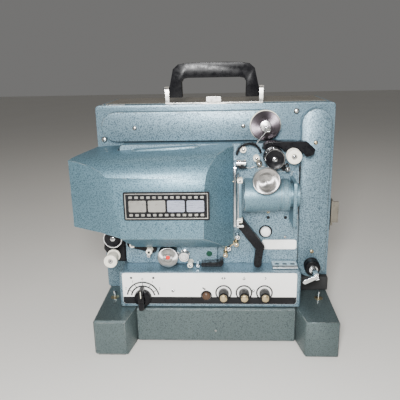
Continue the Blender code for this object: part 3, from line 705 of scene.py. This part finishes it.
def button():
    """The domed white inching button in its black well."""
    low, high = local_box("inching_button")
    centre = centre_of("inching_button")
    radius = (high.x - low.x) / 2
    angles = [math.radians(a) for a in range(0, 91, 10)]
    dome = [(radius * math.sin(a), low.y + 4.2 * (1 - math.cos(a))) for a in angles]
    profile = [(max(r, 0.0), y) for r, y in dome] + [(radius, high.y), (0, high.y)]
    piece = turned(
        "inching_button_fine", profile, "Y", centre, WHITE, "inching_button_body", 64, slot="cream"
)
    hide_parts("inching_button")
    well = [(7.9, -35.6), (9.4, -35.9), (10.0, -35.5), (10.0, -35.05), (7.9, -35.05)]
    turned("inching_button_well", well + well[:1], "Y", centre, BLACK, "body", 64)


round_pieces()


# Small fittings


def stud(name, centre, radius, height, face, facing, along, material, body, slot=None):
    """A low domed round piece standing on a face. facing is 1 or -1 along the axis."""
    top, base = face + facing * height, face - facing * 0.05
    profile = [
        (0, top), (0.55 * radius, top - facing * 0.08 * height), (0.85 * radius, top - facing * 0.3 * height)
]
    profile += [(radius, top - facing * 0.6 * height), (radius, base), (0, base)]
    turned(name, profile, along, centre, material, body, 28, slot=slot)


def screw_on(name, centre, radius, face, material, body, slot_turn=30.0, slot=None):
    """A screw head let 0.1 mm into a face."""
    screw(name, centre, radius, face - 0.35 * radius - 0.5, material, body, slot_turn, slot=slot)


def roll(name, centre, radius, front, back, material, body, screw_radius=0.0, slot=None):
    """A small guide roller with rounded rims, and a bright screw when it has one."""
    profile = [(0, front), (radius - 0.6, front), (radius, front + 0.6), (radius, front + 2.2)]
    profile += [
        (radius - 0.5, front + 2.8), (radius - 0.5, back - 1), (radius, back - 0.5), (radius, back), (0, back)
]
    turned(name, profile, "Y", centre, material, body, 32, slot=slot)
    if screw_radius:
        screw_on(name + "_screw", centre, screw_radius, front, CHROME, body)


def screws():
    arm_front, plate_front = local_box("supply_arm")[0].y, local_box("mechanism_housing")[0].y
    panel_front, pan_front = local_box("control_panel")[0].y, local_box("base_pan")[0].y
    for number, centre in enumerate(((148.0, 294.0), (149.3, 124.0))):
        screw_on(
            f"supply_arm_screw_{number}", centre, 3.0, arm_front, BRASS, "supply_arm_body", 20 + 70 * number
)
    for number, centre in enumerate(((-117.0, 318.5), (42.5, 319.5))):
        screw_on(
            f"takeup_arm_screw_{number}", centre, 3.3, arm_front, STEEL, "takeup_arm_body", -40 + 60 * number
)
    for number, centre in enumerate(((-167.0, 300.0), (121.0, 338.4))):
        stud(f"case_button_{number}", centre, 4.4, 3.0, 0.0, -1, "Y", STEEL, "body")
    for number, centre in enumerate(((-62.9, 84.0), (55.7, 84.4))):
        screw_on(f"panel_screw_{number}", centre, 2.4, panel_front, CHROME, "body", 15 + 50 * number)
    screw_on("plate_screw_brass", (79.0, 195.0), 2.6, plate_front, BRASS, "body")
    screw_on("plate_screw_small", (105.0, 155.0), 2.0, plate_front, STEEL, "body", 75)
    screw_on("pan_screw", (0.0, 20.0), 1.7, pan_front, STEEL, "body", 10)
    # Each threaded hole is a black ring and a black disc on the plate's face: painted shade standing for the
    # hole
    for number, x in enumerate((79.3, 104.8)):
        ring = [
            (1.5, plate_front + 0.1), (1.8, plate_front - 0.25), (2.4, plate_front - 0.25),
            (2.7, plate_front + 0.1)
]
        turned(f"threaded_hole_{number}", ring, "Y", (x, 185.7), BLACK_ENAMEL_AND_SHADE, "body", 24)
        turned(
            f"hole_floor_{number}",
            [
                (0, plate_front - 0.05), (1.6, plate_front - 0.05), (1.6, plate_front + 0.1),
                (0, plate_front + 0.1)
],
            "Y", (x, 185.7), BLACK_ENAMEL_AND_SHADE, "body", 24
)


def mark(name, outline):
    """A thin printed shape on the control panel's front."""
    face = local_box("control_panel")[0].y
    slab(name, outline, "Y", face - PRINT_LIFT, face + 0.05, BLACK_ENAMEL_AND_SHADE, "body")


def number_on_dial(name, text, centre, height):
    curve = bpy.data.curves.new(name, "FONT")
    curve.body = text
    curve.size = height * MM
    curve.extrude = 0.08 * MM
    curve.align_x = "CENTER"
    curve.align_y = "CENTER"
    curve.materials.append(BLACK_ENAMEL_AND_SHADE)
    piece = bpy.data.objects.new(name, curve)
    face = local_box("control_panel")[0].y
    piece.matrix_world = Matrix.Translation(at(centre[0], face - 0.06, centre[1])) @ Matrix.Rotation(
        math.pi / 2, 4, "X"
)
    bpy.context.scene.collection.objects.link(piece)
    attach(piece, "body")


def panel_marks():
    """The panel's black band, the mode selector's scale, the rings round the knobs and plain symbols."""
    low, high = local_box("control_panel")
    band_top, corner, inset = 74.2, 4.0, 0.3
    notch = 7.4
    reach = math.degrees(math.asin((PILOT[1] - band_top) / notch))
    left, right, bottom = low.x + inset, high.x - inset, low.z + inset
    outline = arc((left + corner, bottom + corner), corner, 180, 270, 5)
    outline += arc((right - corner, bottom + corner), corner, 270, 360, 5) + [(right, band_top)]
    outline += arc(PILOT, notch, -reach, -180 + reach, 12) + [(left, band_top)]
    mark("panel_band", outline)
    slab(
        "panel_lip",
        [
            (low.x + 0.5, high.z - 1.9), (high.x - 0.5, high.z - 1.9), (high.x - 0.5, high.z - 0.3),
            (low.x + 0.5, high.z - 0.3)
],
        "Y", low.y - 0.7, low.y + 0.2, SILVER, "body", 0.35
)
    for number, (outer, inner) in enumerate(((24.8, 22.6), (18.6, 16.4))):
        mark(f"dial_arc_{number}", band(DIAL, outer, inner, 8, 172, 40))
    for number, angle in enumerate((28, 59, 90, 121, 152)):
        turn = math.radians(angle)
        tick = [
            along_heading(DIAL, angle, u, v) for u,
            v in ((18.4, -0.5), (22.4, -0.5), (22.4, 0.5), (18.4, 0.5))
]
        mark(f"dial_tick_{number}", tick)
        where = (DIAL[0] + 28.6 * math.cos(turn), DIAL[1] + 28.6 * math.sin(turn))
        number_on_dial(f"dial_number_{number}", str(abs(number - 2)), where, 5.0)
    for number, x in enumerate((-124.5, -91.3)):
        mark(f"dial_square_{number}", rounded((x - 1.6, 103.2), (x + 1.6, 106.4), 0.4, 2))
    for name in ("volume_knob", "tone_knob", "balance_knob"):
        mark(name + "_ring", band(centre_of(name), 12.4, 10.2, -52, 232, 40))
    x, z = centre_of("volume_knob")[0], 104.4
    mark("volume_mark_left", [(x - 3.4, z), (x - 0.9, z - 2.2), (x - 0.9, z + 2.2)])
    mark("volume_mark_right", [(x + 3.4, z), (x + 0.9, z + 2.2), (x + 0.9, z - 2.2)])
    x = centre_of("tone_knob")[0]
    mark("tone_mark", [(x - 0.5, z - 2.4), (x + 0.5, z - 2.4), (x + 0.5, z + 2.4), (x - 0.5, z + 2.4)])
    mark("tone_mark_arc", band((x, z - 0.4), 2.3, 1.6, 180, 360, 16))
    mark("balance_mark", band((centre_of("balance_knob")[0], z), 2.4, 1.5, -80, 80, 16))
    mark(
        "pilot_mark",
        [along_heading((-16.5, 87.5), -35, u, v) for u, v in ((-3, -0.7), (2.4, -1.3), (2.4, 1.3), (-3, 0.7))]
)
    ring = [(6.7, low.y + 0.05), (6.8, low.y - 0.8), (8.2, low.y - 0.8), (8.5, low.y + 0.05)]
    turned("pilot_ring", ring, "Y", PILOT, BLACK_ENAMEL_AND_SHADE, "body", 48)


def plate_frame(outer_low, outer_high, width):
    """The outline of a thin frame as four mitred bars."""
    (x0, z0), (x1, z1) = outer_low, outer_high
    a, b, c, d = (x0, z0), (x1, z0), (x1, z1), (x0, z1)
    e, f, g, h = (x0 + width, z0 + width), (x1 - width, z0 + width), (x1 - width, z1 - width), (
        x0 + width, z1 - width
)
    return ((a, b, f, e), (b, c, g, f), (c, d, h, g), (d, a, e, h))


def nameplate_motif():
    """A plain strip of film in place of lettering: a frame, perforations and four blank pictures."""
    low, high = local_box("nameplate")
    front = low.y
    for number, bar in enumerate(plate_frame((low.x + 2.2, low.z + 2.2), (high.x - 2.2, high.z - 2.2), 1.1)):
        slab(f"nameplate_frame_{number}", bar, "Y", front - 0.5, front + 0.1, STEEL, "cover", 0.12)
    holes, pictures = 13, 4
    pitch = (high.x - low.x - 12) / holes
    for row, z in enumerate((low.z + 7.6, high.z - 7.6)):
        for hole in range(holes):
            x = low.x + 6 + pitch * (hole + 0.5)
            outline = rounded((x - 2.3, z - 1.6), (x + 2.3, z + 1.6), 0.7, 3)
            slab(
                f"nameplate_perforation_{row}_{hole}", outline, "Y", front - 0.4, front + 0.1, STEEL, "cover",
                0.1
)
    wide = (high.x - low.x - 12) / pictures
    for picture in range(pictures):
        x = low.x + 6 + wide * (picture + 0.5)
        tint = STEEL if picture < 2 else PLATE_BLUE
        outline = rounded((x - wide / 2 + 1.4, low.z + 12), (x + wide / 2 - 1.4, high.z - 12), 1.6, 4)
        slab(
            f"nameplate_picture_{picture}", outline, "Y", front - 0.6, front + 0.1, tint, "cover", 0.2,
            slot="steel"
)


def cover_roof(x, y):
    """The lamphouse cover's height above the pads, behind its brow, where the roof falls to the left."""
    brow, rear, root, run, width = 295.8, 298.5, 176.0, 25, 251.0
    z = brow + (y + 60) * (rear - brow) / run
    fall = 13.0 * (z - root) / (rear - root)
    return z - fall * (37.0 - x) / width


def lamphouse_fittings():
    """The long raised finger rest on the cover's roof and the screw on its right side."""
    outline = [(-118, -45), (-109, -50.5), (-28, -50.5), (-19, -45), (-24, -39), (-114, -39)]
    bm = bmesh.new()
    rings = []
    for lift, share in ((-0.5, 1.0), (1.7, 0.985), (2.4, 0.95)):
        ring = [(-68 + (x + 68) * share, -45 + (y + 45) * share) for x, y in outline]
        rings.append([bm.verts.new(at(x, y, cover_roof(x, y) + lift)) for x, y in ring])
    for low_ring, high_ring in zip(rings, rings[1:]):
        for i in range(len(outline)):
            j = (i + 1) % len(outline)
            bm.faces.new((low_ring[i], low_ring[j], high_ring[j], high_ring[i]))
    bm.faces.new(rings[0])
    bm.faces.new(rings[-1])
    finish_mesh("cover_finger_rest", bm, COVER_PAINT, "cover", slot="hammertone")
    turned(
        "cover_edge_screw", [(0, 28.3), (1.6, 28.2), (2.2, 27.6), (2.2, 24.6), (0, 24.6)], "X",
        (-41.5, 243.0), BRASS, "cover", 24
)


def gate_fittings():
    """Guide blocks, rods and small rollers round the film gate."""
    gate = "gate_door_body"
    for number, z in enumerate((251.5, 193.6)):
        block(f"gate_guide_{number}", (32.4, -74.5, z - 3.2), (39.6, -63, z + 3.2), CREAM, gate, 0.7)
        screw_on(f"gate_guide_screw_{number}", (36.0, z), 1.6, -74.5, CHROME, gate)
    block("gate_tab", (31.8, -76.0, 183.5), (34.4, -66.0, 195.5), CHROME, gate, 0.4)
    block("gate_tab_bar", (31.8, -76.0, 184.5), (41.5, -73.0, 187.5), CHROME, gate, 0.5)
    for number, (x, y) in enumerate(((29.1, -76.6), (33.6, -72.6))):
        wire(
            f"gate_rod_{number}", [(x, y, 189.0 + 4 * number), (x, y, 262.0)], 0.9, CHROME,
            "body" if number == 0 else gate
)
    block("light_shield", (23.9, -44.5, 184.0), (26.6, -35.2, 272.0), BLACK_ENAMEL_AND_SHADE, "body", 0.3)
    barrel = [
        (0, 31.2), (4.2, 31.2), (4.8, 31.8), (4.8, 37.6), (3.4, 38.2), (3.4, 41), (4.8, 41.6), (4.8, 44.4),
        (4.2, 45), (0, 45)
]
    turned("gate_top_roller", barrel, "X", (-58.0, 273.5), CHROME, "body", 32)
    block("gate_roller_arm", (34.0, -58.5, 265.4), (45.5, PLATE_DEPTH, 271.6), BLACK_ENAMEL_AND_SHADE, "body", 1.5)
    for number, (centre, radius) in enumerate((((41.5, 289.5), 4.6), ((60.5, 276.5), 4.6))):
        roll(f"film_bush_{number}", centre, radius, -44.0, PLATE_DEPTH, CREAM, "body", 2.2)
    block("keeper_left_mount", (62.0, -43.5, 264.5), (68.6, PLATE_DEPTH, 273.0), BLACK_ENAMEL_AND_SHADE, "body", 1.2)
    roll("keeper_roller_left", (63.6, 271.2), 4.0, -56.0, -43.6, AGED_STEEL, "body", 2.2, slot="steel")
    block("keeper_mount", (97.0, -42.0, 258.0), (107.0, PLATE_DEPTH, 268.5), BLACK_ENAMEL_AND_SHADE, "body", 1.2)
    roll("keeper_roller_right", (103.0, 263.5), 3.8, -57.0, -42.0, CHROME, "body", 1.8)
    spring = [(40 + 2.4 * i, -40.0, 263.0 + 1.2 * math.sin(1.1 * i)) for i in range(15)]
    wire("keeper_spring", spring, 0.45, STEEL, "body")


def link_plate(name, first, second, radius, start, end, material, body, slot=None):
    heading = math.degrees(math.atan2(second[1] - first[1], second[0] - first[0]))
    outline = arc(second, radius, heading - 90, heading + 90, 8) + arc(
        first, radius, heading + 90, heading + 270, 8
)
    slab(name, outline, "Y", start, end, material, body, 0.25, slot=slot)


def lower_path_fittings():
    """The linked damping rollers below the gate and the sound section's small rollers and shoe."""
    chain = ((15.5, 133.0), (20.5, 143.0), (31.8, 149.6), (33.7, 161.0))
    for number, centre in enumerate(chain):
        roll(
            f"damping_roller_{number}", centre, 3.7, -54.0, -40.0, (BRASS, CHROME)[number % 2], "body", 1.9,
            slot="steel"
)
    for number, (first, second) in enumerate(zip(chain, chain[1:])):
        link_plate(
            f"damping_link_{number}", first, second, 2.6, -39.8 + number, -38.9 + number, BRASS, "body"
)
    turned("damping_post", [(0, -40), (2.2, -40), (2.2, -34.9), (0, -34.9)], "Y", chain[2], STEEL, "body", 24)
    head_front = local_box("sound_head")[0].y
    dot = [
        (0, head_front - 0.7), (3.9, head_front - 0.7), (4.6, head_front - 0.2), (4.6, head_front + 0.1),
        (0, head_front + 0.1)
]
    turned("exciter_window", dot, "Y", (-9.0, 131.0), GREEN, "body", 40, slot="glass")
    roll("sound_roller", (-37.4, 118.4), 4.2, -58.0, -42.1, CREAM, "body", 2.0)
    roll("sound_pin", (-26.0, 117.6), 2.9, -57.0, -42.1, CHROME, "body", 1.4)
    shoe = [
        (-21.5, 115.6), (9.0, 115.6), (12.0, 118.5), (12.6, 126.5), (8.4, 126.5), (6.0, 122.5), (-20.5, 121.5)
]
    slab("film_shoe", shoe, "Y", -56.0, -42.1, BLACK, "body", 1.0)
    roll("tension_roller_end", (-98.4, 139.7), 4.6, -57.5, -44.3, CREAM, "tension_arm_body", 2.0)
    roll("tension_roller_pivot", (-123.0, 150.0), 4.2, -56.5, -44.1, CREAM, "tension_arm_body", 2.0)
    roll("tension_pin_lower", (-99.5, 132.6), 3.0, -55.0, -44.1, CHROME, "tension_arm_body", 1.4)
    link_plate(
        "tension_pin_link", (-98.4, 139.7), (-99.5, 132.6), 2.4, -44.9, -43.9, STEEL, "tension_arm_body"
)


def plate_fittings():
    """The blank sticker and the film trimmer's slots."""
    front = local_box("mechanism_housing")[0].y
    slab(
        "blank_sticker", rounded((71.0, 135.5), (122.0, 150.5), 3.0), "Y", front - 0.25, front + 0.02,
        STICKER, "body", slot="cream"
)
    low, high = local_box("film_trimmer")
    # The trimmer's slots are black sheets on its top: painted shade in the openings
    for number, x in enumerate((92.0, 103.5, 115.0)):
        outline = rounded((x - 3.6, low.y + 7), (x + 3.6, low.y + 12), 2.3, 4)
        slab(
            f"trimmer_slot_{number}", outline, "Z", high.z - 0.2, high.z + 0.12, BLACK_ENAMEL_AND_SHADE,
            "film_trimmer_body"
)
    for number, x in enumerate((88.5, 118.5)):
        stud(
            f"trimmer_rivet_{number}", (x, low.y + 16.5), 1.8, 0.9, high.z, 1, "Z", CHROME,
            "film_trimmer_body"
)


def lens_fittings():
    high = local_box("lens")[1]
    ring = [(12.2, high.x - 3), (12.2, high.x), (14.6, high.x), (15.4, high.x - 1), (15.4, high.x - 3)]
    turned("lens_front_ring", ring, "X", LENS_AXIS, BLACK_ENAMEL_AND_SHADE, "lens_body", 64)
    glass = [
        (0, high.x - 1.2), (4, high.x - 1.4), (8, high.x - 2.1), (12.1, high.x - 3.4), (12.1, high.x - 5),
        (0, high.x - 5)
]
    turned("lens_front_glass", glass, "X", LENS_AXIS, GLASS, "lens_body", 64)
    knurl = [(22.6, high.x - 22.5), (23.0, high.x - 22), (23.0, high.x - 17), (22.6, high.x - 16.5)]
    turned("lens_grip_ring", knurl, "X", LENS_AXIS, BARREL_PAINT, "lens_body", 120, 60, 0.35)
    pad_back = local_box("mechanism_housing")[0].y + 0.05
    slab(
        "lens_pad", rounded((92.7, 201.0), (111.4, 257.0), 0.6, 2), "Y", pad_back - 2.6, pad_back, BODY_PAINT,
        "body", 0.4
)
    slab(
        "lens_pad_tall", rounded((112.2, 177.5), (122.2, 257.0), 0.6, 2), "Y", pad_back - 5, pad_back,
        BODY_PAINT, "body", 0.5
)
    # A tapered black strip between the lens pad and the arm: painted shadow in the gap between them
    shadow_outline = [(122.4, 200.0), (123.7, 184.0), (123.7, 268.0), (121.6, 262.0)]
    slab("lens_pad_painted_shadow", shadow_outline, "Y", pad_back - 5.2, pad_back, BLACK_ENAMEL_AND_SHADE, "body", 0.2)
    screw_on("holder_screw", (66.0, 203.6), 2.4, -44.0, BRASS, "body", 55)


def handle_fittings():
    """Pivot screws, strap screws, the latch's plate and what lies on the case's top."""
    handle_axis, top = (11.0, 371.0), 350.5
    for side, name in ((-1, "left"), (1, "right")):
        stud("handle_pivot_" + name, handle_axis, 4.4, 2.6, side * 72.5, side, "X", CHROME, "body")
        stud("strap_screw_" + name, (side * 56.0, 11.5), 3.0, 1.5, 352.7, 1, "Z", CHROME, "body")
    catch = [(-20.0, 0.9), (19.0, 0.9), (14.0, 5.5), (-15.0, 5.5)]
    slab("latch_plate", catch, "Z", top - 0.05, top + 0.7, STEEL, "body", 0.2)
    slab(
        "top_strip", rounded((-158.0, 4.0), (-134.0, 9.0), 0.8, 3), "Z", top - 0.02, top + 0.25, STICKER,
        "body", slot="cream"
)
    for number, x in enumerate((-168.0, -161.5)):
        stud(f"top_screw_{number}", (x, 9.0), 2.0, 1.0, top, 1, "Z", STEEL, "body")
    # A thin dark brown sheet over the case's top carries painted reflection and painted shade
    reflection_outline = rounded((-170.0, 28.0), (170.0, 142.0), 3.0)
    slab("case_top_painted_reflection_sheet", reflection_outline, "Z", top - 0.05, top + 0.35, PAINTED_TOP_REFLECTION, "body", 0.15, slot="black_paint")
    block("side_latch_base", (177.6, 20.0, 145.0), (183.0, 40.0, 181.0), BLACK_ENAMEL_AND_SHADE, "body", 1.2)
    stud("side_stud", (40.0, 306.0), 5.0, 5.0, 177.5, 1, "X", BLACK_ENAMEL_AND_SHADE, "body")


def foot_fittings():
    """A bright stud in a brass washer on top of each foot."""
    top = local_box("foot_left")[1].z
    for name, centre in (("left", (-159.0, -38.0)), ("right", (158.2, -39.0))):
        washer = [(0, top + 0.9), (5.6, top + 0.9), (6.5, top + 0.5), (6.5, top - 0.05), (0, top - 0.05)]
        turned("foot_washer_" + name, washer, "Z", centre, BRASS, "body", 40)
        stem = [(0, top + 11.4), (1.5, top + 11.3), (2.0, top + 10.7), (2.0, top + 0.8), (0, top + 0.8)]
        turned("foot_stud_" + name, stem, "Z", centre, CHROME, "body", 24)


def rear_details():
    """Screws, a fuse cap, a blank plate and the inlet's pins on the back of the case."""
    back = local_box("rear_case")[1].y
    for number, (x, z) in enumerate(((-164, 336), (164, 336), (-164, 72), (164, 72), (0, 336), (0, 72))):
        stud(f"rear_screw_{number}", (x, z), 4.0, 0.95, back, 1, "Y", STEEL, "body")
    for number, (x, z) in enumerate(((-146, 236), (-34, 236), (-146, 104), (-34, 104))):
        stud(f"grille_screw_{number}", (x + (3 if x < -90 else -3), z), 2.4, 0.9, back, 1, "Y", STEEL, "body")
    stud("fuse_cap", (66.0, 96.0), 6.5, 0.95, back, 1, "Y", BLACK, "body")
    slab(
        "rating_plate", rounded((60.0, 128.0), (130.0, 160.0), 2.0, 4), "Y", back - 0.02, back + 0.5,
        ALUMINIUM, "body", 0.15
)
    for number, (x, z) in enumerate(((64.0, 132.0), (126.0, 132.0), (64.0, 156.0), (126.0, 156.0))):
        stud(f"rating_rivet_{number}", (x, z), 1.3, 0.4, back + 0.5, 1, "Y", STEEL, "body")
    for number, x in enumerate((103.0, 110.0, 117.0)):
        pin = [(0, back - 12.1), (1.6, back - 12.1), (1.6, back - 3.6), (0.8, back - 2.8), (0, back - 2.8)]
        turned(f"inlet_pin_{number}", pin, "Y", (x, 94.5 + 3.0 * (number == 1)), BRASS, "body", 20)


def lamp_details():
    """The lamp's filament and metal collar."""
    low, high = local_box("lamp")
    x, y = (low.x + high.x) / 2, (low.y + high.y) / 2
    coil = [
        (x - 3 + 6 * i / 60, y + 1.0 * math.cos(0.9 * i), 232 + 1.0 * math.sin(0.9 * i)) for i in range(61)
]
    wire("lamp_filament", coil, 0.18, STEEL, "body")
    collar = [(7.05, low.z + 0.2), (8.6, low.z + 0.2), (8.6, low.z + 3.4), (7.6, low.z + 4.2)]
    turned("lamp_collar", collar, "Z", (x, y), STEEL, "body", 40)


screws()
panel_marks()
nameplate_motif()
lamphouse_fittings()
gate_fittings()
lower_path_fittings()
plate_fittings()
lens_fittings()
handle_fittings()
foot_fittings()
rear_details()
lamp_details()


# Stage, camera and light


def camera():
    yaw, pitch, roll = (math.radians(a) for a in (CAMERA_YAW, CAMERA_PITCH, CAMERA_ROLL))
    forward = Vector((math.sin(yaw) * math.cos(pitch), math.cos(yaw) * math.cos(pitch), -math.sin(pitch)))
    level = Vector((math.cos(yaw), -math.sin(yaw), 0.0))
    upright = level.cross(forward)
    right = math.cos(roll) * level + math.sin(roll) * upright
    up = -math.sin(roll) * level + math.cos(roll) * upright
    data = bpy.data.cameras.new("camera")
    data.lens = CAMERA_LENS
    data.sensor_width = 36.0
    data.clip_end = 20.0
    made = bpy.data.objects.new("camera", data)
    turn = Matrix((right, up, -forward)).transposed().to_4x4()
    made.matrix_world = Matrix.Translation(at(*CAMERA_AT)) @ turn
    bpy.context.scene.collection.objects.link(made)
    bpy.context.scene.camera = made


def area_light(name, place, target, size, power, colour=(1.0, 1.0, 1.0)):
    data = bpy.data.lights.new(name, "AREA")
    data.size = size
    data.energy = power
    data.color = colour
    made = bpy.data.objects.new(name, data)
    made.location = place
    made.rotation_euler = (Vector(target) - Vector(place)).to_track_quat("-Z", "Y").to_euler()
    bpy.context.scene.collection.objects.link(made)


def stage():
    bm = bmesh.new()
    bmesh.ops.create_grid(bm, x_segments=1, y_segments=1, size=6.0)
    mesh = bpy.data.meshes.new("floor")
    bm.to_mesh(mesh)
    bm.free()
    floor = bpy.data.objects.new("floor", mesh)
    floor.location.z = cad_box[0][2] - 0.0002
    bpy.context.scene.collection.objects.link(floor)
    look = Paint("floor_paint", (0.72, 0.7, 0.66), 0.6)
    mesh.materials.append(look.use(Roughness=look.grey(look.noise(3.0), 0.55, 0.7)))
    world = bpy.data.worlds.new("studio")
    world.use_nodes = True
    world.node_tree.nodes["Background"].inputs["Color"].default_value = (0.93, 0.92, 0.9, 1.0)
    world.node_tree.nodes["Background"].inputs["Strength"].default_value = 0.19
    bpy.context.scene.world = world
    area_light("key", (-0.04, -0.95, 0.6), (0.0, 0.0, 0.28), 0.22, 24.0)
    area_light("fill", (-1.5, -1.2, 0.9), (0.0, 0.0, 0.2), 1.2, 2.5)
    area_light("top", (0.1, 0.5, 1.6), (0.0, 0.0, 0.3), 1.0, 5.0, (1.0, 0.95, 0.88))


camera()
stage()
